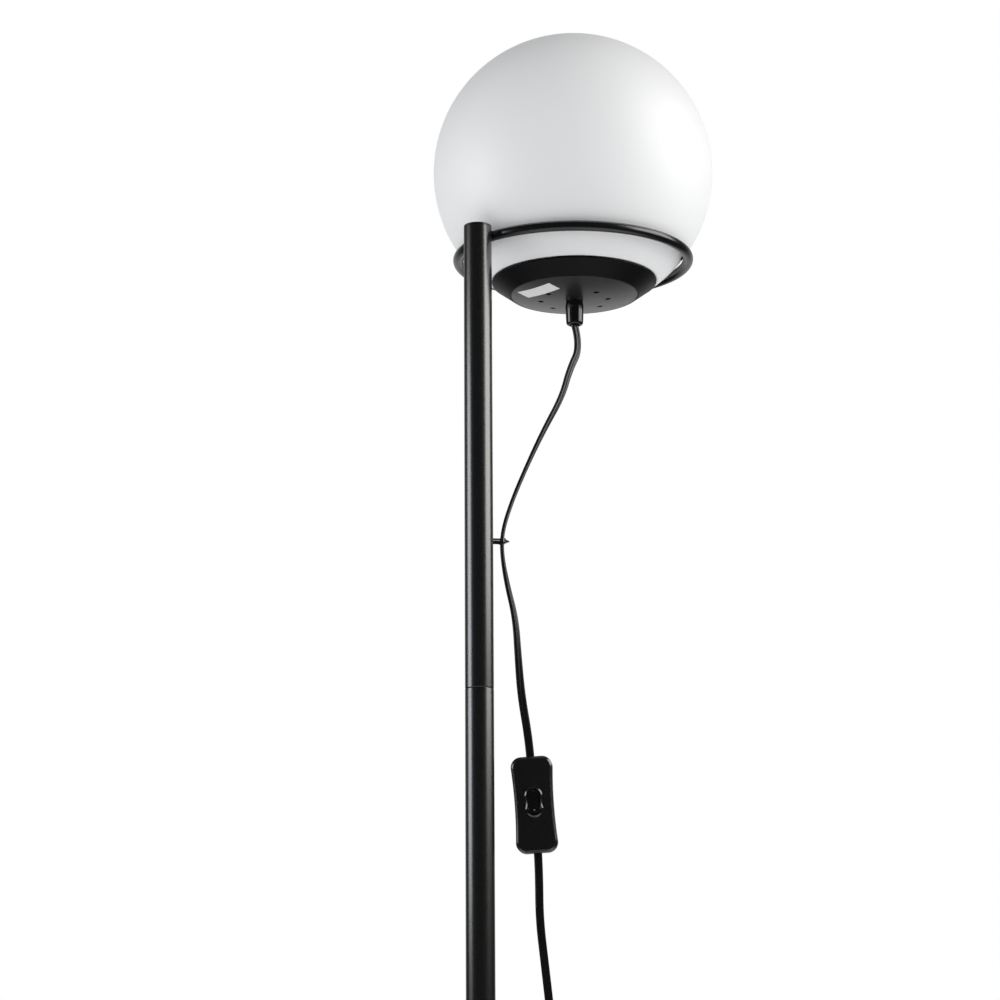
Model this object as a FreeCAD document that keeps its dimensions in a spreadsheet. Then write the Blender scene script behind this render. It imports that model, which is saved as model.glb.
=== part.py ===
import FreeCAD, Part
import math
import os

import Sketcher
from FreeCAD import Placement, Rotation, Vector

# Globe floor lamp: an opal glass globe standing in a hoop beside a slim pole, on a round
# weighted base, with a flat twin cord that carries an inline rocker switch and a flat plug.
#
# Row frame: Z up, the origin where the pole's axis meets the floor, the globe towards +X.
# Sizes are in millimetres. Heights that start with "globe_" or belong to the head are
# measured from the globe's centre, and the head's own parts are drawn about that centre.

doc = FreeCAD.newDocument("globe_floor_lamp")

SIZES = {
    # base
    "base_radius": 130, "base_height": 18, "base_sheet": 1, "base_edge_round": 3.5,
    "weight_radius": 120, "weight_depth": 14.4, "pad_radius": 126, "pad_depth": 2,
    "bolt_radius": 4.95, "bolt_head_flats": 17, "bolt_head_depth": 6.2, "bolt_reach": 28,
    "bolt_hole_radius": 5.5, "recess_radius": 16, "recess_depth": 8, "washer_radius": 11,
    "washer_depth": 1.6,
    # pole
    "pole_radius": 11.55, "pole_wall": 1.2, "seam_low": 468.3, "seam_high": 918.6,
    "pole_top": 1307.1, "seam_bevel": 0.5, "pole_cap_depth": 1.6, "pole_cap_round": 1.2,
    "plug_radius": 10.3, "plug_depth": 25, "stud_radius": 6, "stud_reach": 22,
    "socket_radius": 6.1, "socket_depth": 23, "foot_depth": 30, "foot_bore": 5,
    # hoop that carries the globe
    "hoop_radius": 96.55, "hoop_bar": 4.2, "hoop_drop": 80.2, "hoop_gap": 0.4,
    "saddle_width": 10, "saddle_height": 6.4, "rest_radius": 2.4, "rest_gap": 0.3,
    # cord clip on the pole
    "clip_height": 1040.8, "clip_reach": 25.5, "clip_outer": 6.4, "clip_inner": 4.2,
    "clip_depth": 4.8, "clip_stem": 2.5, "clip_hole": 2.6, "clip_slit": 1.6, "clip_tip": 34.4,
    "clip_collar": 3.8, "clip_barb": 3.4,
    # globe, its opening and the cap under it
    "globe_height": 1380, "globe_radius": 120, "globe_wall": 3, "opening_drop": 97,
    "cap_rim": 70.2, "cap_rim_drop": 98.4, "cap_lip_drop": 97.3, "cap_seam": 55,
    "cap_seam_drop": 109.3, "cap_flange": 64.5, "cap_flange_drop": 98.2, "cap_ledge": 50,
    "cap_sheet": 1.2, "gasket_ring": 67.3, "gasket_drop": 97.6, "gasket_bar": 0.55,
    "dome_radius": 237, "dome_drop": 115.6, "dome_edge": 53.9,
    "vent_circle": 28.7, "vent_radius": 2.4, "label_long": 38, "label_short": 12.8,
    "label_sheet": 0.15, "label_x": -37.7, "label_y": 5.1,
    # bridge, nipple, gland and cord end
    "bridge_drop": 92.5, "bridge_sheet": 2, "bridge_hub": 13, "bridge_arm": 68.5,
    "bridge_arm_width": 10, "bridge_pad": 3, "bridge_pad_ring": 65, "bridge_pad_depth": 1.1,
    "nipple_radius": 5, "nipple_bore": 3.5, "nipple_low": 128.5, "nipple_high": 83,
    "nipple_hole": 5.2, "nut_flats": 14, "nut_depth": 4, "gland_top": 115.8,
    "gland_end": 136, "gland_radius": 7.8, "gland_end_radius": 6.95, "gland_bore": 3.3,
    "gland_step": 129, "grub_radius": 1.5, "grub_drop": 132.2, "holder_lift": 8.5,
    # lamp holder and bulb
    "holder_radius": 19.5, "thread_radius": 13.5, "bulb_thread": 13.1, "bulb_radius": 30,
    "bulb_drop": 1.34, "bulb_neck_drop": 11, "bulb_wall": 1.2,
    # cord and switch
    "cord_radius": 3.1, "switch_half_width": 16.8, "switch_half_length": 38.55,
    "switch_corner": 8.5, "switch_waist": 1.2, "switch_front": 11, "switch_back": 9,
    "switch_wall": 2, "switch_edge_round": 1.5, "switch_x": 60.1, "switch_z": 830.7,
    "switch_lean": -5.13, "switch_turn": -46, "rocker_up": 1.9, "rocker_pivot": 7.6,
    "rocker_round": 5.2, "rocker_spread": 4.9, "rocker_waist": 4.5, "rocker_swing": 10.2,
    "rocker_dish": 36, "rocker_tilt": 7, "rocker_gap": 0.45, "rocker_pin": 1.2,
    "bezel_width": 1.8, "bezel_rise": 1.1,
    # plug
    "plug_x": 225, "plug_y": -22, "plug_half_width": 17.65, "plug_half_height": 6.85,
    "plug_length": 34, "relief_length": 22, "pin_radius": 2, "pin_spread": 9.15,
    "pin_length": 19, "pin_sleeve": 10,
}

sheet = doc.addObject("Spreadsheet::Sheet", "Sizes")
for row, (alias, value) in enumerate(SIZES.items(), start=1):
    sheet.set("A%d" % row, alias)
    sheet.set("B%d" % row, str(value))
    sheet.setAlias("B%d" % row, alias)
doc.recompute()

nodes = {}


# ---- helpers -----------------------------------------------------------------------------

def formula(text):
    """Names of sizes in text, such as pole_radius / 2, turned into cells of the sheet."""
    out, word = "", ""
    for letter in str(text) + " ":
        if letter.isalnum() or letter == "_":
            word += letter
            continue
        out += "Sizes." + word if word in SIZES else word
        out += letter
        word = ""
    return out.strip()


def value_of(text):
    """The number that a formula of sizes gives."""
    return float(sheet.evalExpression(formula(text)))


def bind(thing, **formulas):
    """Tie properties of an object to formulas of sizes: Base_z stands for Placement.Base.z."""
    for name, text in formulas.items():
        if name.startswith("Base_"):
            name = "Placement.Base." + name[5:]
        thing.setExpression(name, formula(text))
    return thing


def keep(thing, node):
    """Name an object as one of the lamp's pieces."""
    thing.Label = node
    nodes[node] = thing
    return thing


def origin_plane(body, role):
    return next(item for item in body.Origin.OriginFeatures if item.Role == role)


def new_sketch(body, plane):
    sketch = body.newObject("Sketcher::SketchObject", body.Name + "_sketch")
    sketch.AttachmentSupport = [(origin_plane(body, plane), "")]
    sketch.MapMode = "FlatFace"
    return sketch


def polygon(body, plane, corners):
    """A closed sketch through corners, each a pair of formulas of sizes."""
    sketch = new_sketch(body, plane)
    points = [Vector(value_of(across), value_of(up), 0) for across, up in corners]
    count = len(points)
    for index, point in enumerate(points):
        sketch.addGeometry(Part.LineSegment(point, points[(index + 1) % count]))
    for index in range(count):
        follower = (index + 1) % count
        sketch.addConstraint(Sketcher.Constraint("Coincident", index, 2, follower, 1))
    for index, corner in enumerate(corners):
        for kind, text, axis in (("DistanceX", corner[0], -2), ("DistanceY", corner[1], -1)):
            if str(text) == "0":
                sketch.addConstraint(Sketcher.Constraint("PointOnObject", index, 1, axis))
                continue
            datum = Sketcher.Constraint(kind, -1, 1, index, 1, value_of(text))
            number = sketch.addConstraint(datum)
            sketch.setExpression("Constraints[%d]" % number, formula(text))
    return sketch


def turned(name, corners):
    """A piece turned about its own Z axis, from the outline of its right-hand half."""
    body = doc.addObject("PartDesign::Body", name)
    sketch = polygon(body, "XZ_Plane", corners)
    turning = body.newObject("PartDesign::Revolution", name + "_turning")
    turning.Profile = sketch
    turning.ReferenceAxis = (sketch, ["V_Axis"])
    turning.Angle = 360
    sketch.Visibility = False
    doc.recompute()
    return body


def ring_edges(shape, rings):
    """Names of the circular edges at the given radii and heights."""
    found = []
    for number, edge in enumerate(shape.Edges, start=1):
        curve = edge.Curve
        if not isinstance(curve, Part.Circle):
            continue
        for radius, height in rings:
            if abs(curve.Radius - radius) < 0.02 and abs(curve.Center.z - height) < 0.02:
                found.append("Edge%d" % number)
    return found


def round_rings(body, radius, rings):
    """Round the circular edges that lie at these formulas of radius and height."""
    base = body.Tip
    places = [(value_of(out), value_of(up)) for out, up in rings]
    rounding = body.newObject("PartDesign::Fillet", body.Name + "_round")
    rounding.Base = (base, ring_edges(base.Shape, places))
    bind(rounding, Radius=radius)
    doc.recompute()
    return body


def cylinder(name, radius, height, **places):
    return bind(doc.addObject("Part::Cylinder", name), Radius=radius, Height=height, **places)


def box(name, length, width, height, **places):
    thing = doc.addObject("Part::Box", name)
    return bind(thing, Length=length, Width=width, Height=height, **places)


def turn(thing, axis, degrees):
    thing.Placement.Rotation = Rotation(axis, degrees)
    return thing


def cut(name, base, tool):
    thing = doc.addObject("Part::Cut", name)
    thing.Base, thing.Tool = base, tool
    return thing


def common(name, base, tool):
    thing = doc.addObject("Part::Common", name)
    thing.Base, thing.Tool = base, tool
    return thing


def fuse(name, shapes):
    thing = doc.addObject("Part::MultiFuse", name)
    thing.Shapes = shapes
    return thing


def group(name, shapes):
    """Several alike pieces that share one node as separate solids."""
    thing = doc.addObject("Part::Compound", name)
    thing.Links = shapes
    return thing


X_AXIS, Y_AXIS, Z_AXIS = Vector(1, 0, 0), Vector(0, 1, 0), Vector(0, 0, 1)


# ---- base --------------------------------------------------------------------------------

cover = turned("base_cover", [
    ("bolt_hole_radius", "base_height"), ("base_radius", "base_height"),
    ("base_radius", "base_sheet"), ("base_radius - base_sheet", "base_sheet"),
    ("base_radius - base_sheet", "base_height - base_sheet"),
    ("bolt_hole_radius", "base_height - base_sheet")])
round_rings(cover, "base_edge_round", [("base_radius", "base_height")])
round_rings(cover, "base_edge_round - base_sheet",
            [("base_radius - base_sheet", "base_height - base_sheet")])
keep(cover, "base_cover")

WEIGHT_LOW = "pad_depth + 0.3"
WEIGHT_HIGH = "pad_depth + 0.3 + weight_depth"
keep(turned("base_weight", [
    ("recess_radius", WEIGHT_LOW), ("weight_radius", WEIGHT_LOW),
    ("weight_radius", WEIGHT_HIGH), ("bolt_hole_radius", WEIGHT_HIGH),
    ("bolt_hole_radius", WEIGHT_LOW + " + recess_depth"),
    ("recess_radius", WEIGHT_LOW + " + recess_depth")]), "base_weight")

keep(cylinder("base_pad", "pad_radius", "pad_depth"), "base_pad")

WASHER_LOW = WEIGHT_LOW + " + recess_depth - washer_depth"
keep(turned("base_washer", [
    ("bolt_hole_radius", WASHER_LOW), ("washer_radius", WASHER_LOW),
    ("washer_radius", WASHER_LOW + " + washer_depth"),
    ("bolt_hole_radius", WASHER_LOW + " + washer_depth")]), "base_washer")


def hexagon(name, flats, height, **places):
    """A hexagonal bolt head or nut, sized across its flats."""
    thing = doc.addObject("Part::Prism", name)
    thing.Polygon = 6
    radius = "(%s) / 2 / cos(30)" % flats
    return bind(thing, Circumradius=radius, Height=height, **places)


bolt_head = hexagon("bolt_head", "bolt_head_flats", "bolt_head_depth",
                    Base_z=WASHER_LOW + " - bolt_head_depth")
bolt_shank = cylinder("bolt_shank", "bolt_radius", "bolt_reach", Base_z=WASHER_LOW)
keep(fuse("base_bolt", [bolt_head, bolt_shank]), "base_bolt")


# ---- pole --------------------------------------------------------------------------------

keep(turned("pole_foot_insert", [
    ("foot_bore", "base_height"), ("plug_radius", "base_height"),
    ("plug_radius", "base_height + foot_depth"), ("foot_bore", "base_height + foot_depth")]),
    "pole_foot_insert")


def pole_section(name, low, high, bevel_low, bevel_high):
    """One length of tube, bevelled at the ends where two lengths screw together."""
    inner = "pole_radius - pole_wall"
    outline = [(inner, low)]
    if bevel_low:
        outline += [("pole_radius - seam_bevel", low), ("pole_radius", low + " + seam_bevel")]
    else:
        outline += [("pole_radius", low)]
    if bevel_high:
        outline += [("pole_radius", high + " - seam_bevel"), ("pole_radius - seam_bevel", high)]
    else:
        outline += [("pole_radius", high)]
    return turned(name, outline + [(inner, high)])


keep(pole_section("pole_lower", "base_height", "seam_low", False, True), "pole_lower")
keep(pole_section("pole_middle", "seam_low", "seam_high", True, True), "pole_middle")
upper_tube = pole_section("pole_upper_tube", "seam_high", "pole_top - pole_cap_depth",
                          True, False)
clip_hole = cylinder("clip_hole", "clip_hole", "pole_radius", Base_z="clip_height",
                     Base_x="pole_wall * 2")
turn(clip_hole, Y_AXIS, 90)
keep(cut("pole_upper", upper_tube, clip_hole), "pole_upper")

for side, seam in (("low", "seam_low"), ("high", "seam_high")):
    keep(turned("pole_stud_" + side, [
        ("0", seam + " - 1 - plug_depth"), ("plug_radius", seam + " - 1 - plug_depth"),
        ("plug_radius", seam + " - 1"), ("stud_radius", seam + " - 1"),
        ("stud_radius", seam + " + stud_reach"), ("0", seam + " + stud_reach")]),
        "pole_stud_" + side)
    keep(turned("pole_socket_" + side, [
        ("socket_radius", seam + " + 0.5"), ("plug_radius", seam + " + 0.5"),
        ("plug_radius", seam + " + 0.5 + socket_depth"),
        ("socket_radius", seam + " + 0.5 + socket_depth")]), "pole_socket_" + side)

top_cap = turned("pole_top_cap", [
    ("0", "pole_top - 14"), ("plug_radius", "pole_top - 14"),
    ("plug_radius", "pole_top - pole_cap_depth"), ("pole_radius", "pole_top - pole_cap_depth"),
    ("pole_radius", "pole_top"), ("0", "pole_top")])
keep(round_rings(top_cap, "pole_cap_round", [("pole_radius", "pole_top")]), "pole_top_cap")


# ---- hoop --------------------------------------------------------------------------------

HEAD_X = "pole_radius + hoop_gap + hoop_bar + hoop_radius"
HOOP_Z = "globe_height - hoop_drop"


def hoop(name):
    thing = doc.addObject("Part::Torus", name)
    return bind(thing, Radius1="hoop_radius", Radius2="hoop_bar", Base_x=HEAD_X, Base_z=HOOP_Z)


keep(hoop("support_ring"), "support_ring")

# The weld between hoop and pole: what is left of a small block after both have passed.
saddle_block = box("saddle_block", "pole_radius", "saddle_width", "saddle_height",
                   Base_x="pole_radius - 2", Base_y="-saddle_width / 2",
                   Base_z=HOOP_Z + " - saddle_height / 2")
saddle_pole = cylinder("saddle_pole", "pole_radius", "saddle_height + 4",
                       Base_z=HOOP_Z + " - saddle_height / 2 - 2")
saddle_inner = cylinder("saddle_inner", "hoop_radius", "saddle_height + 4", Base_x=HEAD_X,
                        Base_z=HOOP_Z + " - saddle_height / 2 - 2")
saddle_tools = fuse("saddle_tools", [saddle_pole, hoop("saddle_hoop"), saddle_inner])
keep(cut("ring_saddle", saddle_block, saddle_tools), "ring_saddle")


# Four small rests on the hoop's inner side carry the glass.
REST_ANGLES = (45, 135, 225, 315)
rests = []
rest_lean = math.degrees(math.atan2(value_of("hoop_drop"), value_of("hoop_radius")))
rest_start = value_of("globe_radius + rest_gap")
for number, angle in enumerate(REST_ANGLES, start=1):
    rest_way = Rotation(Z_AXIS, angle) * Rotation(Y_AXIS, 90 + rest_lean)
    rest = cylinder("rest_blank_%d" % number, "rest_radius", "hoop_bar")
    centre = Vector(value_of(HEAD_X), 0, value_of("globe_height"))
    rest.Placement = Placement(centre + rest_way.multVec(Vector(0, 0, rest_start)), rest_way)
    rests.append(cut("rest_%d" % number, rest, hoop("rest_hoop_%d" % number)))
keep(group("ring_rests", rests), "ring_rests")


# ---- cord clip ---------------------------------------------------------------------------

CLIP_LOW = "clip_height - clip_depth / 2"
clip_eye = cylinder("clip_eye", "clip_outer", "clip_depth", Base_x="clip_reach",
                    Base_z=CLIP_LOW)
clip_stem = cylinder("clip_stem", "clip_stem", "clip_reach - clip_outer - 7",
                     Base_x="8", Base_z="clip_height")
clip_collar = cylinder("clip_collar", "clip_collar", "1.4", Base_x="pole_radius + 0.2",
                       Base_z="clip_height")
clip_barb = cylinder("clip_barb", "clip_barb", "1.8", Base_x="pole_radius - pole_wall - 2.6",
                     Base_z="clip_height")
for bar in (clip_stem, clip_collar, clip_barb):
    turn(bar, Y_AXIS, 90)
lip_body = doc.addObject("PartDesign::Body", "clip_lips")
lip_sketch = polygon(lip_body, "XY_Plane", [
    ("clip_reach + clip_inner", "-clip_outer * 0.7"), ("clip_tip", "-1.2"),
    ("clip_tip", "1.2"), ("clip_reach + clip_inner", "clip_outer * 0.7")])
lip_pad = lip_body.newObject("PartDesign::Pad", "clip_lip_pad")
lip_pad.Profile = lip_sketch
bind(lip_pad, Length="clip_depth * 0.7")
bind(lip_body, Base_z="clip_height - clip_depth * 0.35")
clip_solid = fuse("clip_solid", [clip_eye, clip_stem, clip_collar, clip_barb, lip_body])
clip_bore = cylinder("clip_bore", "clip_inner", "clip_depth + 4", Base_x="clip_reach",
                     Base_z=CLIP_LOW + " - 2")
clip_slot = box("clip_slot", "clip_outer + 4", "clip_slit", "clip_depth + 4",
                Base_x="clip_reach", Base_y="-clip_slit / 2", Base_z=CLIP_LOW + " - 2")
keep(cut("cord_clip", clip_solid, fuse("clip_tools", [clip_bore, clip_slot])), "cord_clip")


# ---- head: globe and cap, drawn about the globe's centre ---------------------------------

def keep_in_head(thing, node, lift="0"):
    """A piece of the head moves from the globe's centre to its place in the lamp."""
    bind(thing, Base_x=HEAD_X, Base_z="globe_height + " + lift)
    return keep(thing, node)


def ball(name, radius, **places):
    return bind(doc.addObject("Part::Sphere", name), Radius=radius, **places)


glass = cut("glass_shell", ball("glass_outer", "globe_radius"),
            ball("glass_inner", "globe_radius - globe_wall"))
glass_mouth = cylinder("glass_mouth", "globe_radius", "globe_radius",
                       Base_z="-opening_drop - globe_radius")
keep_in_head(cut("glass_globe", glass, glass_mouth), "glass_globe")

# The cap's side is a cone of even sheet. Its inner face lies one sheet inside the outer one,
# and a flange with a small lip carries the gasket under the glass.
run = value_of("cap_rim - cap_seam")
rise = value_of("cap_seam_drop - cap_rim_drop")
slant = math.hypot(run, rise)
SLOPE = "(cap_seam_drop - cap_rim_drop) / (cap_rim - cap_seam)"
INSET_X = "cap_sheet * %.6f" % (rise / slant)
INSET_Z = "cap_sheet * %.6f" % (run / slant)
LEDGE_DROP = "(cap_seam_drop - 2.9)"
FLANGE_LOW = "(cap_flange_drop + cap_sheet)"


def inner_cone(drop):
    """The inner face's radius at a drop below the globe's centre."""
    return "cap_seam - %s + (cap_seam_drop - %s - %s) / (%s)" % (INSET_X, INSET_Z, drop, SLOPE)


cap_shell = turned("cap_shell", [
    ("cap_seam", "-cap_seam_drop"), ("cap_rim", "-cap_rim_drop"), ("cap_rim", "-cap_lip_drop"),
    ("cap_rim - 0.9", "-cap_lip_drop"), ("cap_rim - 0.9", "-cap_flange_drop"),
    ("cap_flange", "-cap_flange_drop"), ("cap_flange", "-" + FLANGE_LOW),
    (inner_cone(FLANGE_LOW), "-" + FLANGE_LOW), (inner_cone(LEDGE_DROP), "-" + LEDGE_DROP),
    ("cap_ledge", "-" + LEDGE_DROP), ("cap_ledge", "-%s - cap_sheet" % LEDGE_DROP),
    ("cap_seam - 0.5", "-%s - cap_sheet" % LEDGE_DROP), ("cap_seam - 0.5", "-cap_seam_drop")])
round_rings(cap_shell, "0.4", [("cap_rim", "-cap_rim_drop"), ("cap_rim", "-cap_lip_drop")])
keep_in_head(cap_shell, "cap_shell")

# The cap's bottom is a shallow dome of even sheet, pierced by the nipple and six vents.
DOME_CENTRE = "dome_radius - dome_drop"
dome_sheet = cut("dome_sheet", ball("dome_outer", "dome_radius", Base_z=DOME_CENTRE),
                 ball("dome_inner", "dome_radius - cap_sheet", Base_z=DOME_CENTRE))
dome_trim = cylinder("dome_trim", "dome_edge", "20", Base_z="-dome_drop - 2")
dome_disc = common("dome_disc", dome_sheet, dome_trim)
dome_holes = [cylinder("dome_centre_hole", "nipple_hole", "20", Base_z="-dome_drop - 2")]
VENT_ANGLES = (85, 130, 175, 265, 310, 355)
for number, angle in enumerate(VENT_ANGLES, start=1):
    dome_holes.append(cylinder("vent_%d" % number, "vent_radius", "20",
                               Base_x="vent_circle * cos(%d)" % angle,
                               Base_y="vent_circle * sin(%d)" % angle,
                               Base_z="-dome_drop - 2"))
keep_in_head(cut("cap_disc", dome_disc, fuse("dome_tools", dome_holes)), "cap_disc")

gasket = bind(doc.addObject("Part::Torus", "cap_gasket"), Radius1="gasket_ring",
              Radius2="gasket_bar", Base_z="-gasket_drop")
keep_in_head(group("cap_gasket_group", [gasket]), "cap_gasket")

# The blank label follows the dome, a hair's breadth under it.
label_sheet = cut("label_layer",
                  ball("label_outer", "dome_radius + 0.05 + label_sheet", Base_z=DOME_CENTRE),
                  ball("label_inner", "dome_radius + 0.05", Base_z=DOME_CENTRE))
label_box = box("label_box", "label_short", "label_long", "12",
                Base_x="label_x - label_short / 2", Base_y="label_y - label_long / 2",
                Base_z="-dome_drop - 1")
keep_in_head(common("blank_label", label_sheet, label_box), "blank_label")

bridge_hub = cylinder("bridge_hub", "bridge_hub", "bridge_sheet", Base_z="-bridge_drop")
bridge_arms = []
bridge_pads = []
for number, angle in enumerate((60, 180, 300), start=1):
    arm = box("bridge_arm_%d" % number, "bridge_arm", "bridge_arm_width", "bridge_sheet",
              Base_x="bridge_arm_width / 2 * sin(%d)" % angle,
              Base_y="-bridge_arm_width / 2 * cos(%d)" % angle, Base_z="-bridge_drop")
    bridge_arms.append(turn(arm, Z_AXIS, angle))
    bridge_pads.append(cylinder("bridge_pad_%d" % number, "bridge_pad", "bridge_pad_depth",
                                Base_x="bridge_pad_ring * cos(%d)" % angle,
                                Base_y="bridge_pad_ring * sin(%d)" % angle,
                                Base_z="-bridge_drop - bridge_pad_depth"))
bridge_hole = cylinder("bridge_hole", "nipple_hole", "10", Base_z="-bridge_drop - 4")
bridge = fuse("bridge_plate", [bridge_hub] + bridge_arms)
keep_in_head(cut("clamp_bridge", bridge, bridge_hole), "clamp_bridge")
keep_in_head(group("bridge_pads", bridge_pads), "bridge_pads")

keep_in_head(turned("threaded_nipple", [
    ("nipple_bore", "-nipple_low"), ("nipple_radius", "-nipple_low"),
    ("nipple_radius", "-nipple_high"), ("nipple_bore", "-nipple_high")]), "threaded_nipple")

nut_blank = hexagon("nut_blank", "nut_flats", "nut_depth", Base_z="-bridge_drop + bridge_sheet")
nut_bore = cylinder("nut_bore", "nipple_radius + 0.05", "10", Base_z="-bridge_drop")
keep_in_head(cut("nipple_nut", nut_blank, nut_bore), "nipple_nut")

gland_body = turned("gland_body", [
    ("nipple_radius + 0.05", "-gland_top"), ("gland_radius - 0.4", "-gland_top"),
    ("gland_radius", "-gland_top - 1.2"), ("gland_end_radius", "-gland_end"),
    ("gland_bore", "-gland_end"), ("gland_bore", "-gland_step"),
    ("nipple_radius + 0.05", "-gland_step")])
round_rings(gland_body, "1.3", [("gland_end_radius", "-gland_end")])
grub_hole = cylinder("grub_hole", "grub_radius + 0.05", "12", Base_z="-grub_drop")
turn(grub_hole, X_AXIS, -90)
keep_in_head(cut("cord_gland", gland_body, grub_hole), "cord_gland")
grub = cylinder("grub_screw", "grub_radius", "3.2", Base_y="gland_bore + 0.1",
                Base_z="-grub_drop")
turn(grub, X_AXIS, -90)
keep_in_head(group("gland_screw_group", [grub]), "gland_screw")

cord_end = cylinder("cord_end", "cord_radius", "gland_end - 93 + holder_lift",
                    Base_z="-gland_end")
keep_in_head(group("cord_end_group", [cord_end]), "cord_end")
leads = [cylinder("lead_%d" % number, "1.1", "12.6", Base_x=place, Base_z="-93")
         for number, place in enumerate(("-1.5", "1.5"), start=1)]
keep_in_head(group("holder_leads", leads), "holder_leads", "holder_lift")


# ---- lamp holder and bulb ----------------------------------------------------------------

HOLDER_IN = "holder_radius - 2"
keep_in_head(turned("holder_base", [
    ("nipple_radius + 0.1", "-94.5"), ("9", "-94.5"), ("holder_radius", "-83"),
    ("holder_radius", "-76"), (HOLDER_IN, "-76"), (HOLDER_IN, "-82.2"), ("8", "-91"),
    ("nipple_radius + 0.1", "-91")]), "holder_base", "holder_lift")
keep_in_head(turned("holder_core", [
    ("0", "-80"), (HOLDER_IN + " - 0.5", "-80"), (HOLDER_IN + " - 0.5", "-76.5"),
    ("0", "-76.5")]), "holder_core", "holder_lift")
keep_in_head(turned("holder_shell", [
    ("thread_radius + 1.7", "-75.7"), ("holder_radius", "-75.7"), ("holder_radius", "-47"),
    ("holder_radius + 1.5", "-45"), ("thread_radius + 1.7", "-45")]),
    "holder_shell", "holder_lift")
keep_in_head(turned("holder_thread", [
    ("thread_radius", "-74"), ("thread_radius + 1.6", "-74"), ("thread_radius + 1.6", "-50"),
    ("thread_radius", "-50")]), "holder_thread", "holder_lift")
contact_strips = [
    box("contact_centre", "9", "3.4", "0.6", Base_x="-4.5", Base_y="-1.7", Base_z="-75.5"),
    box("contact_side", "3", "3.4", "0.6", Base_x="7", Base_y="-1.7", Base_z="-76.4")]
keep_in_head(group("holder_contacts", contact_strips), "holder_contacts", "holder_lift")
terminals = [cylinder("terminal_%d" % number, "1.7", "3", Base_x=place, Base_z="-83.1")
             for number, place in enumerate(("-9", "9"), start=1)]
keep_in_head(group("terminal_screws", terminals), "terminal_screws", "holder_lift")

keep_in_head(turned("bulb_contact", [
    ("0", "-74.8"), ("3.2", "-74.8"), ("3.9", "-72.2"), ("0", "-72.2")]),
    "bulb_contact", "holder_lift")
keep_in_head(turned("bulb_cap", [
    ("4", "-72.1"), ("bulb_thread", "-70"), ("bulb_thread", "-47"), ("12.3", "-47"),
    ("12.3", "-69.3"), ("4", "-71.3")]), "bulb_cap", "holder_lift")
keep_in_head(turned("bulb_housing", [
    ("12.4", "-46.8"), ("13.4", "-46.8"), ("17.5", "-40"), ("28.5", "-15"),
    ("28.5", "-bulb_neck_drop - 0.2"), ("27.3", "-bulb_neck_drop - 0.2"),
    ("27.3", "-14.7"), ("16.4", "-39.5"), ("12.4", "-46")]), "bulb_housing", "holder_lift")
keep_in_head(turned("led_board", [
    ("0", "-18.2"), ("24", "-18.2"), ("24", "-16.6"), ("0", "-16.6")]), "led_board", "holder_lift")
bulb_shell = cut("bulb_shell", ball("bulb_outer", "bulb_radius", Base_z="-bulb_drop"),
                 ball("bulb_inner", "bulb_radius - bulb_wall", Base_z="-bulb_drop"))
bulb_trim = cylinder("bulb_trim", "bulb_radius + 2", "2 * bulb_radius",
                     Base_z="-bulb_neck_drop - 2 * bulb_radius")
keep_in_head(cut("bulb_dome", bulb_shell, bulb_trim), "bulb_dome", "holder_lift")


# ---- inline switch, drawn about its own centre: front towards -Y, cord along Z ------------

switch_place = Placement(
    Vector(value_of("switch_x"), 0, value_of("switch_z")),
    Rotation(Y_AXIS, value_of("switch_lean")) * Rotation(Z_AXIS, value_of("switch_turn")))


def keep_in_switch(thing, node, own=Placement()):
    thing.Placement = switch_place * own
    return keep(thing, node)


def waisted_outline(body, inset):
    """A rounded oblong whose long sides draw in a little at the middle."""
    half_width = value_of("switch_half_width") - inset
    half_length = value_of("switch_half_length") - inset
    corner = value_of("switch_corner") - inset
    waist = value_of("switch_waist")
    out, up, bend = half_width - corner, half_length - corner, corner * math.sqrt(0.5)
    marks = []
    for right, top in ((1, 1), (-1, 1), (-1, -1), (1, -1)):
        side = Vector(right * half_width, top * up, 0)
        middle = Vector(right * (out + bend), top * (up + bend), 0)
        end = Vector(right * out, top * half_length, 0)
        marks.append((side, middle, end) if right == top else (end, middle, side))
    pieces = [Part.Arc(*mark) for mark in marks]
    pieces.insert(1, Part.LineSegment(marks[0][2], marks[1][0]))
    pieces.insert(3, Part.Arc(marks[1][2], Vector(waist - half_width, 0, 0), marks[2][0]))
    pieces.insert(5, Part.LineSegment(marks[2][2], marks[3][0]))
    pieces.append(Part.Arc(marks[3][2], Vector(half_width - waist, 0, 0), marks[0][0]))
    sketch = new_sketch(body, "XZ_Plane")
    for number, piece in enumerate(pieces):
        sketch.addGeometry(piece)
        sketch.addConstraint(Sketcher.Constraint("Block", number))
    return sketch


def switch_half(name, depth, towards_back):
    """One half of the housing: a filled outline, rounded outside and hollowed inside."""
    body = doc.addObject("PartDesign::Body", name)
    pad = body.newObject("PartDesign::Pad", name + "_pad")
    pad.Profile = waisted_outline(body, 0)
    pad.Reversed = towards_back
    bind(pad, Length=depth)
    doc.recompute()
    face_y = value_of(depth) * (1 if towards_back else -1)
    rim = []
    for number, edge in enumerate(pad.Shape.Edges, start=1):
        bounds = edge.BoundBox
        if abs(bounds.YMin - face_y) < 0.01 and abs(bounds.YMax - face_y) < 0.01:
            rim.append("Edge%d" % number)
    rounding = body.newObject("PartDesign::Fillet", name + "_round")
    rounding.Base = (pad, rim)
    bind(rounding, Radius="switch_edge_round")
    doc.recompute()
    hollow = body.newObject("PartDesign::Pocket", name + "_hollow")
    hollow.Profile = waisted_outline(body, value_of("switch_wall"))
    hollow.Reversed = not towards_back
    bind(hollow, Length=depth + " - switch_wall")
    doc.recompute()
    return body


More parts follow.
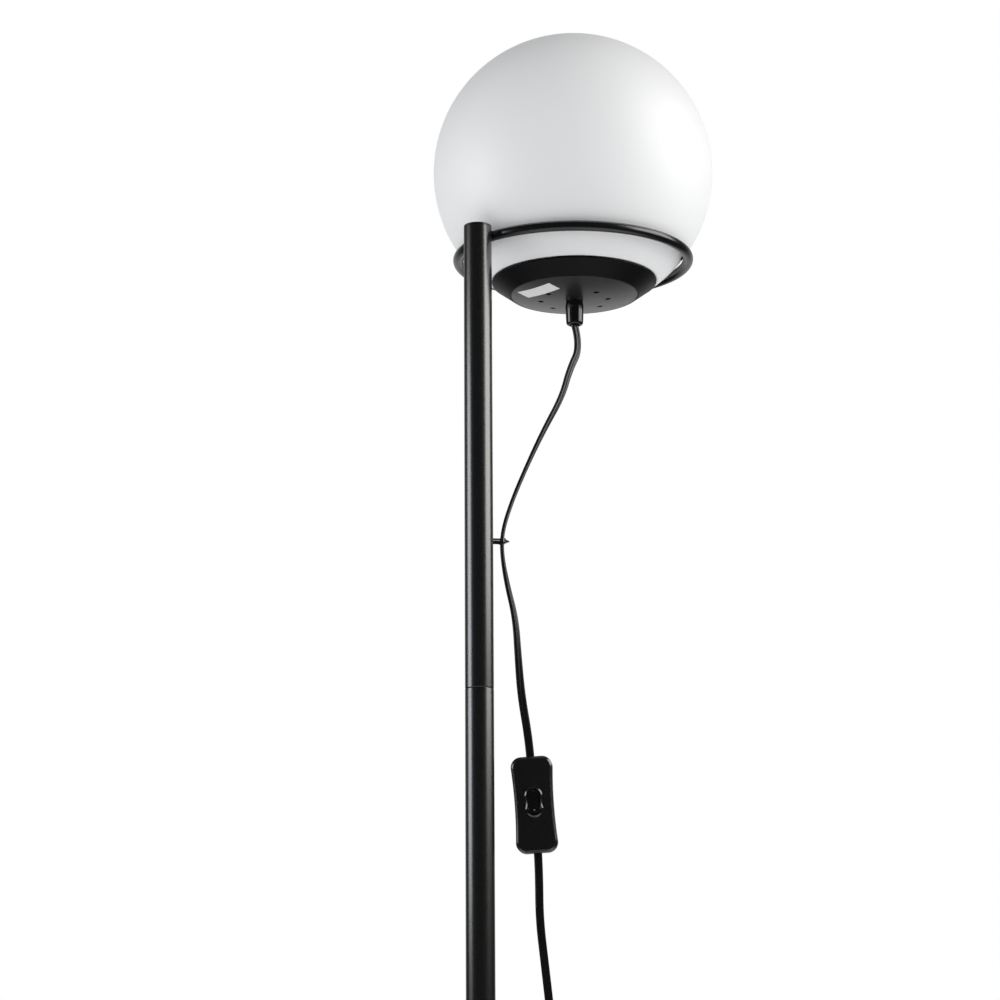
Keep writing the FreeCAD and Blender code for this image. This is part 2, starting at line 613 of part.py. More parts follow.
def peanut(name, grow, depth, front):
    """Two round ends and a narrower middle, standing from the face at y = front inwards."""
    ends = []
    for number, way in enumerate(("", "-"), start=1):
        end = cylinder("%s_end_%d" % (name, number), "rocker_round + " + grow, depth,
                       Base_y=front, Base_z="%srocker_spread" % way)
        ends.append(turn(end, X_AXIS, -90))
    middle = box(name + "_middle", "2 * (rocker_waist + %s)" % grow, depth,
                 "2 * rocker_spread", Base_x="-rocker_waist - " + grow, Base_y=front,
                 Base_z="-rocker_spread")
    return fuse(name, ends + [middle])


def raised(thing, text):
    """Lift a tool drawn about the rocker's middle to the rocker's place in the switch."""
    return bind(thing, Base_z=text)


front_half = switch_half("switch_front_half", "switch_front", False)
bezel = raised(peanut("bezel", "(rocker_gap + bezel_width)", "bezel_rise + 1",
                      "-switch_front - bezel_rise"), "rocker_up")
SCREW_PLACES = (("8", "27"), ("-8", "-27"))
bosses = []
for number, (across, along) in enumerate(SCREW_PLACES, start=1):
    boss = cylinder("screw_boss_%d" % number, "3", "switch_front - switch_wall",
                    Base_x=across, Base_z=along, Base_y="-0.3")
    bosses.append(turn(boss, X_AXIS, 90))
front_solid = fuse("switch_front_solid", [front_half, bezel] + bosses)
rocker_hole = raised(peanut("rocker_hole", "rocker_gap", "6", "-switch_front - 2"),
                     "rocker_up")


def cord_passage(name):
    return cylinder(name, "cord_radius + 0.2", "2 * switch_half_length + 4",
                    Base_z="-switch_half_length - 2")


pilots = []
for number, (across, along) in enumerate(SCREW_PLACES, start=1):
    pilot = cylinder("screw_pilot_%d" % number, "1.3", "6", Base_x=across, Base_z=along,
                     Base_y="1")
    pilots.append(turn(pilot, X_AXIS, 90))
front_tools = fuse("switch_front_tools", [rocker_hole, cord_passage("front_passage")] + pilots)
keep_in_switch(cut("switch_front", front_solid, front_tools), "switch_front")

back_half = switch_half("switch_back_half", "switch_back", True)
back_tools = [cord_passage("back_passage")]
screws = []
for number, (across, along) in enumerate(SCREW_PLACES, start=1):
    for part, radius, start, length in (("hole", "1.6", "-1", "14"),
                                        ("seat", "3", "switch_back - 1.2", "4")):
        tool = cylinder("screw_%s_%d" % (part, number), radius, length, Base_x=across,
                        Base_z=along, Base_y=start)
        back_tools.append(turn(tool, X_AXIS, -90))
    head = cylinder("screw_head_%d" % number, "2.7", "1", Base_x=across, Base_z=along,
                    Base_y="switch_back - 1.2")
    shank = cylinder("screw_shank_%d" % number, "1.2", "switch_back + 2.8", Base_x=across,
                     Base_z=along, Base_y="-3.8")
    slot = box("screw_slot_%d" % number, "6", "0.5", "0.8", Base_x=across + " - 3",
               Base_y="switch_back - 0.7", Base_z=along + " - 0.4")
    whole = fuse("screw_blank_%d" % number, [turn(head, X_AXIS, -90), turn(shank, X_AXIS, -90)])
    screws.append(cut("screw_%d" % number, whole, slot))
keep_in_switch(cut("switch_back", back_half, fuse("switch_back_tools", back_tools)),
               "switch_back")
keep_in_switch(group("switch_screws", screws), "switch_screws")

# The rocker turns on two pins. It is drawn about their axis, level, and rests tilted.
rocker_blank = peanut("rocker_blank", "0", "6.8", "rocker_pivot - switch_front - 1.4")
swing_drum = cylinder("swing_drum", "rocker_swing", "40", Base_x="-20")
turn(swing_drum, Y_AXIS, 90)
rocker_pins = cylinder("rocker_pins", "rocker_pin", "15.8", Base_x="-7.9")
turn(rocker_pins, Y_AXIS, 90)
rocker_solid = fuse("rocker_solid",
                    [common("rocker_block", rocker_blank, swing_drum), rocker_pins])
rocker_dish = cylinder("rocker_dish_drum", "rocker_dish", "40", Base_x="-20",
                       Base_y="rocker_pivot - switch_front - 0.2 - rocker_dish")
turn(rocker_dish, Y_AXIS, 90)
rocker_dot = ball("rocker_dot", "0.9", Base_y="rocker_pivot - switch_front - 1.35",
                  Base_z="-6.4")
rocker_tools = fuse("rocker_tools", [rocker_dish, rocker_dot])
pivot_place = Placement(
    Vector(0, -value_of("rocker_pivot"), value_of("rocker_up")),
    Rotation(X_AXIS, -value_of("rocker_tilt")))
keep_in_switch(cut("switch_rocker", rocker_solid, rocker_tools), "switch_rocker", pivot_place)
leaf = box("rocker_leaf", "3", "0.6", "11", Base_x="-1.5",
           Base_y="rocker_pivot - switch_front + 5.5", Base_z="-5.5")
keep_in_switch(group("rocker_contact", [leaf]), "rocker_contact", pivot_place)

cradle_posts = [box("cradle_post_%d" % number, "1.8", "8.3", "6", Base_x=place,
                    Base_y="-8.8", Base_z="rocker_up - 3")
                for number, place in enumerate(("-8", "6.2"), start=1)]
cradle_floor = box("cradle_floor", "16", "1.2", "6", Base_x="-8", Base_y="-0.9",
                   Base_z="rocker_up - 3")
cradle_bore = cylinder("cradle_bore", "rocker_pin + 0.06", "20", Base_x="-10",
                       Base_y="-rocker_pivot", Base_z="rocker_up")
turn(cradle_bore, Y_AXIS, 90)
keep_in_switch(cut("rocker_cradle", fuse("cradle_blank", cradle_posts + [cradle_floor]),
                   cradle_bore), "rocker_cradle")

fixed_contacts = [box("fixed_contact_%d" % number, "5", "4", "5", Base_x="-2.5",
                      Base_y="-2", Base_z=place)
                  for number, place in enumerate(("-13", "12"), start=1)]
keep_in_switch(group("switch_contacts", fixed_contacts), "switch_contacts")
clamps = [box("cord_clamp_%d" % number, "10", "2", "4", Base_x="-5",
              Base_y="cord_radius + 0.2", Base_z=place)
          for number, place in enumerate(("-33", "29"), start=1)]
keep_in_switch(group("cord_clamps", clamps), "cord_clamps")
stubs = [cylinder("switch_stub_%d" % number, "cord_radius", "16", Base_z=place)
         for number, place in enumerate(("switch_half_length - 16", "-switch_half_length"),
                                        start=1)]
keep_in_switch(group("switch_cord_ends", stubs), "switch_cord_ends")


# ---- plug: a flat moulded body on the floor, pins towards +Y ------------------------------

plug_body = doc.addObject("PartDesign::Body", "plug_moulding")
plug_sketch = polygon(plug_body, "XY_Plane", [
    ("-plug_half_width + 8", "0"), ("plug_half_width - 8", "0"),
    ("plug_half_width", "plug_length * 0.55"), ("plug_half_width", "plug_length"),
    ("-plug_half_width", "plug_length"), ("-plug_half_width", "plug_length * 0.55")])
plug_pad = plug_body.newObject("PartDesign::Pad", "plug_pad")
plug_pad.Profile = plug_sketch
plug_pad.Midplane = True
bind(plug_pad, Length="2 * plug_half_height")
doc.recompute()
uprights = ["Edge%d" % number for number, edge in enumerate(plug_pad.Shape.Edges, start=1)
            if edge.BoundBox.ZLength > 1 and edge.BoundBox.XLength < 0.01]
corner_round = plug_body.newObject("PartDesign::Fillet", "plug_corner_round")
corner_round.Base = (plug_pad, uprights)
corner_round.Radius = 4
doc.recompute()
flat_height = value_of("plug_half_height")
rims = ["Edge%d" % number for number, edge in enumerate(corner_round.Shape.Edges, start=1)
        if abs(abs(edge.BoundBox.Center.z) - flat_height) < 0.01
        and edge.BoundBox.ZLength < 0.01]
rim_round = plug_body.newObject("PartDesign::Fillet", "plug_rim_round")
rim_round.Base = (corner_round, rims)
rim_round.Radius = 3
bind(plug_body, Base_x="plug_x", Base_y="plug_y + relief_length", Base_z="plug_half_height")
keep(plug_body, "plug_body")

relief_radius = "cord_radius + 0.7"
relief_corners = [("0", "0"), (relief_radius, "0")]
RELIEF_RIBS = 4
for number in range(RELIEF_RIBS):
    low = "relief_length * %.3f" % ((number + 0.35) / RELIEF_RIBS)
    high = "relief_length * %.3f" % ((number + 0.8) / RELIEF_RIBS)
    swell = "cord_radius + %.2f" % (1.1 + 0.28 * number)
    relief_corners += [(swell, low), (swell, high)]
    if number < RELIEF_RIBS - 1:
        dip = "cord_radius + %.2f" % (0.5 + 0.22 * number)
        relief_corners += [(dip, high + " + 0.3"), (dip, high + " + 1.2")]
relief_corners += [("cord_radius + 1.9", "relief_length"), ("0", "relief_length")]
relief = turned("plug_relief", relief_corners)
turn(relief, X_AXIS, -90)
bind(relief, Base_x="plug_x", Base_y="plug_y", Base_z="plug_half_height")
keep(relief, "plug_relief")

PIN_START = "plug_y + relief_length + plug_length"
sleeves, tips = [], []
for number, place in enumerate(("plug_x - pin_spread", "plug_x + pin_spread"), start=1):
    sleeve = cylinder("pin_sleeve_%d" % number, "pin_radius", "pin_sleeve", Base_x=place,
                      Base_y=PIN_START, Base_z="plug_half_height")
    tip = cylinder("pin_tip_%d" % number, "pin_radius", "pin_length - pin_sleeve",
                   Base_x=place, Base_y=PIN_START + " + pin_sleeve",
                   Base_z="plug_half_height")
    sleeves.append(turn(sleeve, X_AXIS, -90))
    tips.append(turn(tip, X_AXIS, -90))
keep(group("plug_sleeves", sleeves), "plug_sleeves")
keep(group("plug_pins", tips), "plug_pins")


# ---- cord --------------------------------------------------------------------------------

cord_radius = value_of("cord_radius")
floor_z = cord_radius
head_x = value_of(HEAD_X)
gland_end_z = value_of("globe_height - gland_end")
half_length = value_of("switch_half_length")


def on_switch_axis(along):
    """A point on the switch's long axis, so that the cord meets its ends square."""
    return switch_place.multVec(Vector(0, 0, along))


plug_face = Vector(value_of("plug_x"), value_of("plug_y"), value_of("plug_half_height"))

# The stretch that the picture shows from the gland through the clip to the switch.
UPPER_ROUTE = [
    (112.7, 0, 1228), (107.5, -1, 1203), (94.2, -5, 1176), (71.9, -3, 1144), (54.4, 0, 1111),
    (38.6, 2, 1078), (25.9, 0.5, 1050), (25.1, -0.5, 1030), (30, -1, 1007), (38, -3, 980),
    (40.6, -2, 948), (47.3, 0, 918)]
# From the switch down past the pole, over the base's edge and onto the floor.
LOWER_ROUTE = [
    (64.9, 0, 740), (70.6, 0, 704), (79.6, 2, 655), (84, 6, 600),
    (88, 10, 535), (94, 10, 465), (104, 6, 395), (113, 4, 325), (120, 8, 260), (129, 16, 200),
    (139, 22, 145), (146, 22, 95), (149, 15, 52), (148.5, -4, 18)]
COIL_START = Vector(146, -62, floor_z)
LAST_RUN = 26.8
SWITCH_RUN = 16
STRAIGHT_END = 2 * cord_radius


def arc_between(start, tangent, end):
    """The circular arc that leaves start along tangent and reaches end."""
    chord = end - start
    half_turn = math.acos(min(1, chord.normalize().dot(tangent)))
    chord = end - start
    if half_turn < 1e-6:
        return Part.LineSegment(start, end)
    corner = start + tangent * (chord.Length / 2 / math.cos(half_turn))
    weight = math.cos(half_turn)
    middle = (start + end + corner * (2 * weight)) * (1 / (2 + 2 * weight))
    return Part.Arc(start, middle, end)


def tube(node, path, radius):
    """A round tube along a path of lines and arcs, checked against section times length."""
    wire = Part.Wire([piece.toShape() for piece in path])
    first = path[0]
    heading = (first.EndPoint - first.StartPoint).normalize()
    ring = Part.Wire(Part.makeCircle(radius, first.StartPoint, heading))
    solid = wire.makePipeShell([ring], True, False)
    thing = doc.addObject("Part::Feature", node)
    thing.Shape = solid
    expected = math.pi * radius ** 2 * wire.Length
    print("%s: length %.1f mm, volume %.4f of section times length" % (
        node, wire.Length, solid.Volume / expected))
    return keep(thing, node)


def rounded_route(points):
    """Straight runs joined by tangent arcs as large as the shorter run beside each allows."""
    path, here, radii = [], points[0], []
    for before, corner, after in zip(points, points[1:], points[2:]):
        back, forth = before - corner, after - corner
        reach = 0.45 * min(back.Length, forth.Length)
        back.normalize()
        forth.normalize()
        half_turn = (math.pi - math.acos(max(-1, min(1, back.dot(forth))))) / 2
        radii.append(reach / math.tan(half_turn))
        enter, leave = corner + back * reach, corner + forth * reach
        path.append(Part.LineSegment(here, enter))
        path.append(arc_between(enter, back * -1, leave))
        here = leave
    path.append(Part.LineSegment(here, points[-1]))
    print("least radius %.1f mm, all: %s" % (min(radii), [round(item) for item in radii]))
    return path


def rounded_cord(node, points):
    return tube(node, rounded_route(points), cord_radius)


gland_exit = Vector(head_x, 0, gland_end_z)
rounded_cord("cord_upper", [gland_exit] + [Vector(*point) for point in UPPER_ROUTE]
             + [on_switch_axis(half_length + SWITCH_RUN), on_switch_axis(half_length)])
landing = COIL_START + Vector(0, STRAIGHT_END, 0)
rounded_cord("cord_lower", [on_switch_axis(-half_length),
                            on_switch_axis(-half_length - SWITCH_RUN)]
             + [Vector(*point) for point in LOWER_ROUTE]
             + [landing + Vector(0, LAST_RUN, 0), landing])

# The coil: half turns that spiral in on the floor, climb a layer and spiral out again.
INWARD_TURNS = (38, 34.5, 31, 27.5)
CLIMB_TURN = 24
OUTWARD_TURNS = INWARD_TURNS[::-1]
LAYER_STEP = 7.2


def two_arcs(start, start_way, end, end_way):
    """The pair of arcs that joins two points smoothly along two given headings."""
    gap = end - start
    total = start_way + end_way
    closeness = 1 - start_way.dot(end_way)
    if closeness < 1e-9:
        reach = gap.dot(gap) / (4 * gap.dot(end_way))
    else:
        along = gap.dot(total)
        reach = (math.sqrt(along ** 2 + 2 * closeness * gap.dot(gap)) - along) / (2 * closeness)
    joint = (start + start_way * reach + end - end_way * reach) * 0.5
    joint_way = (end - end_way * reach - start - start_way * reach).normalize()
    return [arc_between(start, start_way, joint), arc_between(joint, joint_way, end)]


heading = Vector(0, -1, 0)
here = COIL_START
coil_path = [Part.LineSegment(landing, COIL_START)]
east = 1
for radius in INWARD_TURNS + (CLIMB_TURN,) + OUTWARD_TURNS:
    climb = LAYER_STEP if radius == CLIMB_TURN else 0
    there = here + Vector(2 * radius * east, 0, climb)
    coil_path += two_arcs(here, heading, there, heading * -1)
    here, heading, east = there, heading * -1, -east
tail_end = plug_face - Vector(0, STRAIGHT_END, 0)
coil_path += two_arcs(here, heading, tail_end, heading)
coil_path.append(Part.LineSegment(tail_end, plug_face))
tube("cord_coil", coil_path, cord_radius)


def least_gap(path, step=4, apart=30):
    """The least clear distance between stretches of a tube that lie further along it."""
    wire = Part.Wire([piece.toShape() for piece in path])
    points = wire.discretize(Distance=step)
    skip = int(apart / step)
    least = 1e9
    for index, point in enumerate(points):
        for other in points[index + skip:]:
            least = min(least, point.distanceToPoint(other))
    return least - 2 * cord_radius


print("coil: least gap to itself %.2f mm" % least_gap(coil_path))


# ---- checks and export -------------------------------------------------------------------

doc.recompute()
faults = [item.Name for item in doc.Objects if "Invalid" in item.State or "Error" in item.State]
faults += [node for node, item in nodes.items()
           if item.Shape.isNull() or not item.Shape.isValid() or not item.Shape.Solids]
if faults:
    raise RuntimeError("failed objects: " + ", ".join(faults))
os.makedirs("parts", exist_ok=True)
for node, item in nodes.items():
    item.Shape.exportStep("parts/%s.step" % node)
print("%d nodes" % len(nodes))
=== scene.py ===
import bpy
import bmesh
import math
import numpy as np
from mathutils import Matrix, Vector


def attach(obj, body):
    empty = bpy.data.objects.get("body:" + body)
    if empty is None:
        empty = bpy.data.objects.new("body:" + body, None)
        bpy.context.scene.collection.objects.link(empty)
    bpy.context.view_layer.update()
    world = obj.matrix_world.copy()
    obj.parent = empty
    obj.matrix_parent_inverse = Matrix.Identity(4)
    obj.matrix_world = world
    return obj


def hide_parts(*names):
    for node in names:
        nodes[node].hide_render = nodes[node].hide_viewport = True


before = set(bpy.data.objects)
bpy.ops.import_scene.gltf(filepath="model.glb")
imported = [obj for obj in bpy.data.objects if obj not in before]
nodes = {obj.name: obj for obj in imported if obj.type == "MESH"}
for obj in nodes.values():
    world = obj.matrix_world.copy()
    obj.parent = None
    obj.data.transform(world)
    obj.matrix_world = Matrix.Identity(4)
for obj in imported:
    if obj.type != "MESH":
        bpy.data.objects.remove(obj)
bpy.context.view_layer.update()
mm = 0.001
print("frame loaded:", len(nodes), "CAD nodes")

# camera: stands low in front of the lamp and looks up at the globe
shot = {
    "place": (-1.4883, -1.5912, 0.5618),
    "heading": (0.688851, 0.724903, 0.0),   # level direction of view
    "pitch": 0.2306, "roll": 0.00575,     # radians
    "lens": 99.47, "sensor": 36,          # mm
    "clip": (0.05, 60),
}
ahead = np.array(shot["heading"])
aside = np.array((ahead[1], -ahead[0], 0.0))   # to the picture's right
upward = np.array((0.0, 0.0, 1.0))


def linkObject(name, data):
    thing = bpy.data.objects.new(name, data)
    bpy.context.scene.collection.objects.link(thing)
    return thing


# the heading tipped up by the pitch, then turned about itself by the roll
def makeCamera():
    tilt, roll = shot["pitch"], shot["roll"]
    look = math.cos(tilt) * ahead + math.sin(tilt) * upward
    top = math.cos(tilt) * upward - math.sin(tilt) * ahead
    right = math.cos(roll) * aside - math.sin(roll) * top
    top = math.sin(roll) * aside + math.cos(roll) * top
    cameraData = bpy.data.cameras.new("photoCamera")
    cameraData.lens, cameraData.sensor_width = shot["lens"], shot["sensor"]
    cameraData.clip_start, cameraData.clip_end = shot["clip"]
    cameraObject = linkObject("photoCamera", cameraData)
    turned = Matrix([right, top, -look]).transposed().to_4x4()
    cameraObject.matrix_world = Matrix.Translation(shot["place"]) @ turned
    bpy.context.scene.camera = cameraObject


makeCamera()
print("camera placed")


closeBy = 2e-6   # metres within which two points of a mesh become one
allButNothing = 1e-7   # metres below which an edge counts as none


# grid of points (rows, columns, xyz) to a mesh: every cell of four neighbours is one face, rows or
# columns may wrap round to the first, and a row that shrinks to one point is merged there
def meshFrom(name, points, wrapRows=False, wrapColumns=True, sharp=32):
    rows, columns = points.shape[:2]
    row = np.arange(rows if wrapRows else rows - 1)[:, None]
    column = np.arange(columns if wrapColumns else columns - 1)[None, :]
    nextRow, nextColumn = (row + 1) % rows, (column + 1) % columns
    quads = np.stack([row * columns + column, row * columns + nextColumn,
                      nextRow * columns + nextColumn, nextRow * columns + column], axis=-1)
    mesh = bpy.data.meshes.new(name)
    mesh.from_pydata(points.reshape(-1, 3).tolist(), [], quads.reshape(-1, 4).tolist())
    work = bmesh.new()
    work.from_mesh(mesh)
    bmesh.ops.remove_doubles(work, verts=work.verts, dist=closeBy)
    bmesh.ops.dissolve_degenerate(work, edges=work.edges, dist=allButNothing)
    bmesh.ops.recalc_face_normals(work, faces=work.faces)
    work.to_mesh(mesh)
    work.free()
    smoothOver(mesh, sharp)
    return mesh


# smooth shading, with every edge sharper than the given degrees kept
def smoothOver(mesh, sharp=32):
    mesh.shade_smooth()
    mesh.set_sharp_from_angle(angle=math.radians(sharp))


# several closed meshes as one
def joinMeshes(name, meshes, sharp=32):
    work = bmesh.new()
    for mesh in meshes:
        work.from_mesh(mesh)
    joined = bpy.data.meshes.new(name)
    work.to_mesh(joined)
    work.free()
    smoothOver(joined, sharp)
    return joined


# a piece on its body, with its finish, in place of the CAD nodes that it replaces
def addPiece(name, mesh, body, finish, replaced):
    piece = linkObject(name, mesh)
    mesh.materials.append(materials[finish])
    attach(piece, body)
    if replaced:
        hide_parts(*replaced)
    return piece


# polyline with rounded corners: each corner (across, up, radius) gives way to a parabola that
# starts and ends one radius from it along its two sides
def roundedLine(corners, steps=7):
    line = [np.array(corners[0][:2])[None, :]]
    share = np.linspace(0, 1, steps)[:, None]
    for before, corner, after in zip(corners, corners[1:], corners[2:]):
        here, radius = np.array(corner[:2]), corner[2]
        back, forth = np.array(before[:2]) - here, np.array(after[:2]) - here
        first = here + back / np.linalg.norm(back) * radius
        last = here + forth / np.linalg.norm(forth) * radius
        line.append((1 - share) ** 2 * first + 2 * share * (1 - share) * here
                    + share ** 2 * last)
    line.append(np.array(corners[-1][:2])[None, :])
    return np.concatenate(line)


# angles evenly round a full turn, from 0
def roundAngles(count):
    return np.arange(count) * 2 * math.pi / count


# soft oval: cosine and sine of the angle, both raised to a power with the sign kept; 1 gives a
# circle, less than 1 a squarer outline and more than 1 a pointed one
def softOval(angle, power):
    cosine, sine = np.cos(angle), np.sin(angle)
    return np.sign(cosine) * np.abs(cosine) ** power, np.sign(sine) * np.abs(sine) ** power


# surface of revolution: (radius * cos angle, radius * sin angle, height) about a vertical through
# the centre, for every point of the profile (radius, height) and every angle, in millimetres
def turnedMesh(name, profile, centre=(0, 0, 0), segments=160, loop=False):
    angle = roundAngles(segments)
    radius, height = profile[:, :1], profile[:, 1:]
    points = np.stack([centre[0] + radius * np.cos(angle), centre[1] + radius * np.sin(angle),
                       centre[2] + height + 0 * angle], axis=-1)
    return meshFrom(name, points * mm, wrapRows=loop)


# ring: a circle of the bar's radius carried round a circle of the hoop's radius, whose height
# rises by the lean's two shares along X and Y
def ringMesh(name, centre, radius, bar, lean, around=320, across=40):
    angle, section = roundAngles(around)[:, None], roundAngles(across)[None, :]
    reach = radius + bar * np.cos(section)
    alongX, alongY = reach * np.cos(angle), reach * np.sin(angle)
    height = bar * np.sin(section) + lean[0] * alongX + lean[1] * alongY
    points = np.stack([centre[0] + alongX, centre[1] + alongY, centre[2] + height], axis=-1)
    return meshFrom(name, points * mm, wrapRows=True)


# an empty node group with named inputs (name: default) and outputs (name: socket type)
def groupOf(name, inputs, outputs):
    tree = bpy.data.node_groups.new(name, "ShaderNodeTree")
    for label, value in inputs.items():
        socket = tree.interface.new_socket(label, in_out="INPUT", socket_type="NodeSocketFloat")
        socket.default_value = value
    for label, kind in outputs.items():
        tree.interface.new_socket(label, in_out="OUTPUT", socket_type=kind)
    return tree, tree.nodes.new("NodeGroupInput"), tree.nodes.new("NodeGroupOutput")


def addNode(tree, kind, **settings):
    node = tree.nodes.new("ShaderNode" + kind)
    for key, value in settings.items():
        setattr(node, key, value)
    return node


# sets a node's inputs by name, with _ for a space, or by number as i0, i1; a value that is a
# socket is linked
def feed(tree, node, **values):
    for key, value in values.items():
        numbered = key[0] == "i" and key[1:].isdigit()
        socket = node.inputs[int(key[1:])] if numbered else node.inputs[key.replace("_", " ")]
        if isinstance(value, bpy.types.NodeSocket):
            tree.links.new(value, socket)
        else:
            socket.default_value = value
    return node


# one sum on values or sockets, given back as a socket
def mathNode(tree, operation, first, second=0.0, third=0.0):
    node = addNode(tree, "Math", operation=operation)
    return feed(tree, node, i0=first, i1=second, i2=third).outputs[0]


# noise that sticks to the piece
def noiseOn(tree, scale, detail=3.0, roughness=0.5):
    node = addNode(tree, "TexNoise")
    point = addNode(tree, "TexCoord").outputs["Object"]
    feed(tree, node, Vector=point, Scale=scale, Detail=detail, Roughness=roughness)
    return node.outputs[0]


# grain: fine noise plus a share of noise about twelve times coarser, as a height; the coarse noise
# also moves the roughness to both sides of its mean
def buildGrain():
    tree, given, out = groupOf("surfaceGrain", {
        "Scale": 3000.0, "Coarse share": 0.3, "Roughness": 0.4, "Spread": 0.08},
        {"Height": "NodeSocketFloat", "Rough": "NodeSocketFloat"})
    fine = noiseOn(tree, given.outputs["Scale"], 2.0)
    coarse = noiseOn(tree, mathNode(tree, "MULTIPLY", given.outputs["Scale"], 0.08), 3.0)
    mixed = mathNode(tree, "MULTIPLY_ADD", coarse, given.outputs["Coarse share"], fine)
    tree.links.new(mixed, out.inputs["Height"])
    spread = mathNode(tree, "MULTIPLY", mathNode(tree, "SUBTRACT", coarse, 0.5),
                      given.outputs["Spread"])
    tree.links.new(mathNode(tree, "MULTIPLY_ADD", spread, 2.0, given.outputs["Roughness"]),
                   out.inputs["Rough"])
    return tree


# dust: how far a face looks up, times noise with its low half cut off, times the amount
def buildDust():
    tree, given, out = groupOf("settledDust", {"Amount": 0.1, "Scale": 60.0},
                               {"Mask": "NodeSocketFloat"})
    normal = addNode(tree, "NewGeometry").outputs["Normal"]
    split = feed(tree, addNode(tree, "SeparateXYZ"), Vector=normal)
    faceUp = mathNode(tree, "MAXIMUM", split.outputs["Z"], 0.0)
    broken = noiseOn(tree, given.outputs["Scale"], 6.0, 0.7)
    spots = mathNode(tree, "MAXIMUM", mathNode(tree, "MULTIPLY_ADD", broken, 2.6, -1.0), 0.0)
    mask = mathNode(tree, "MULTIPLY", mathNode(tree, "MULTIPLY", faceUp, spots),
                    given.outputs["Amount"])
    clamp = feed(tree, addNode(tree, "Clamp"), Value=mask)
    tree.links.new(clamp.outputs[0], out.inputs["Mask"])
    return tree


grainGroup, dustGroup = buildGrain(), buildDust()


# first where the share is 0, second where it is 1
def blendColour(tree, share, first, second):
    node = feed(tree, addNode(tree, "Mix", data_type="RGBA"), i0=share)
    return feed(tree, node, i6=first, i7=second).outputs[2]


dustTone = (0.32, 0.31, 0.29, 1)
# what a finish has where it says nothing else; bumpDepth is in metres
usualLook = {"coarse": 0.3, "roughSpread": 0.06, "tintScale": 14.0, "bump": 0.2,
             "bumpDepth": 0.00008}


# grain drives roughness and bump, slow noise blends the two tones, dust pales what looks up
def finishOf(name, given):
    look = {**usualLook, **given}
    material = bpy.data.materials.new(name)
    material.use_nodes = True
    tree = material.node_tree
    shader = tree.nodes["Principled BSDF"]
    grain = addNode(tree, "Group", node_tree=grainGroup)
    feed(tree, grain, Scale=look["grain"], Coarse_share=look["coarse"],
         Roughness=look["rough"], Spread=look["roughSpread"])
    tint = noiseOn(tree, look["tintScale"], 4.0)
    colour = blendColour(tree, tint, (*look["dark"], 1), (*look["light"], 1))
    if "dust" in look:
        dust = addNode(tree, "Group", node_tree=dustGroup)
        feed(tree, dust, Amount=look["dust"])
        colour = blendColour(tree, dust.outputs["Mask"], colour, dustTone)
    bump = feed(tree, addNode(tree, "Bump"), Strength=look["bump"],
                Distance=look["bumpDepth"], Height=grain.outputs["Height"])
    feed(tree, shader, Base_Color=colour, Roughness=grain.outputs["Rough"],
         Normal=bump.outputs["Normal"])
    for key, socket in shaderWords.items():
        if key in look:
            shader.inputs[socket].default_value = look[key]
    return material


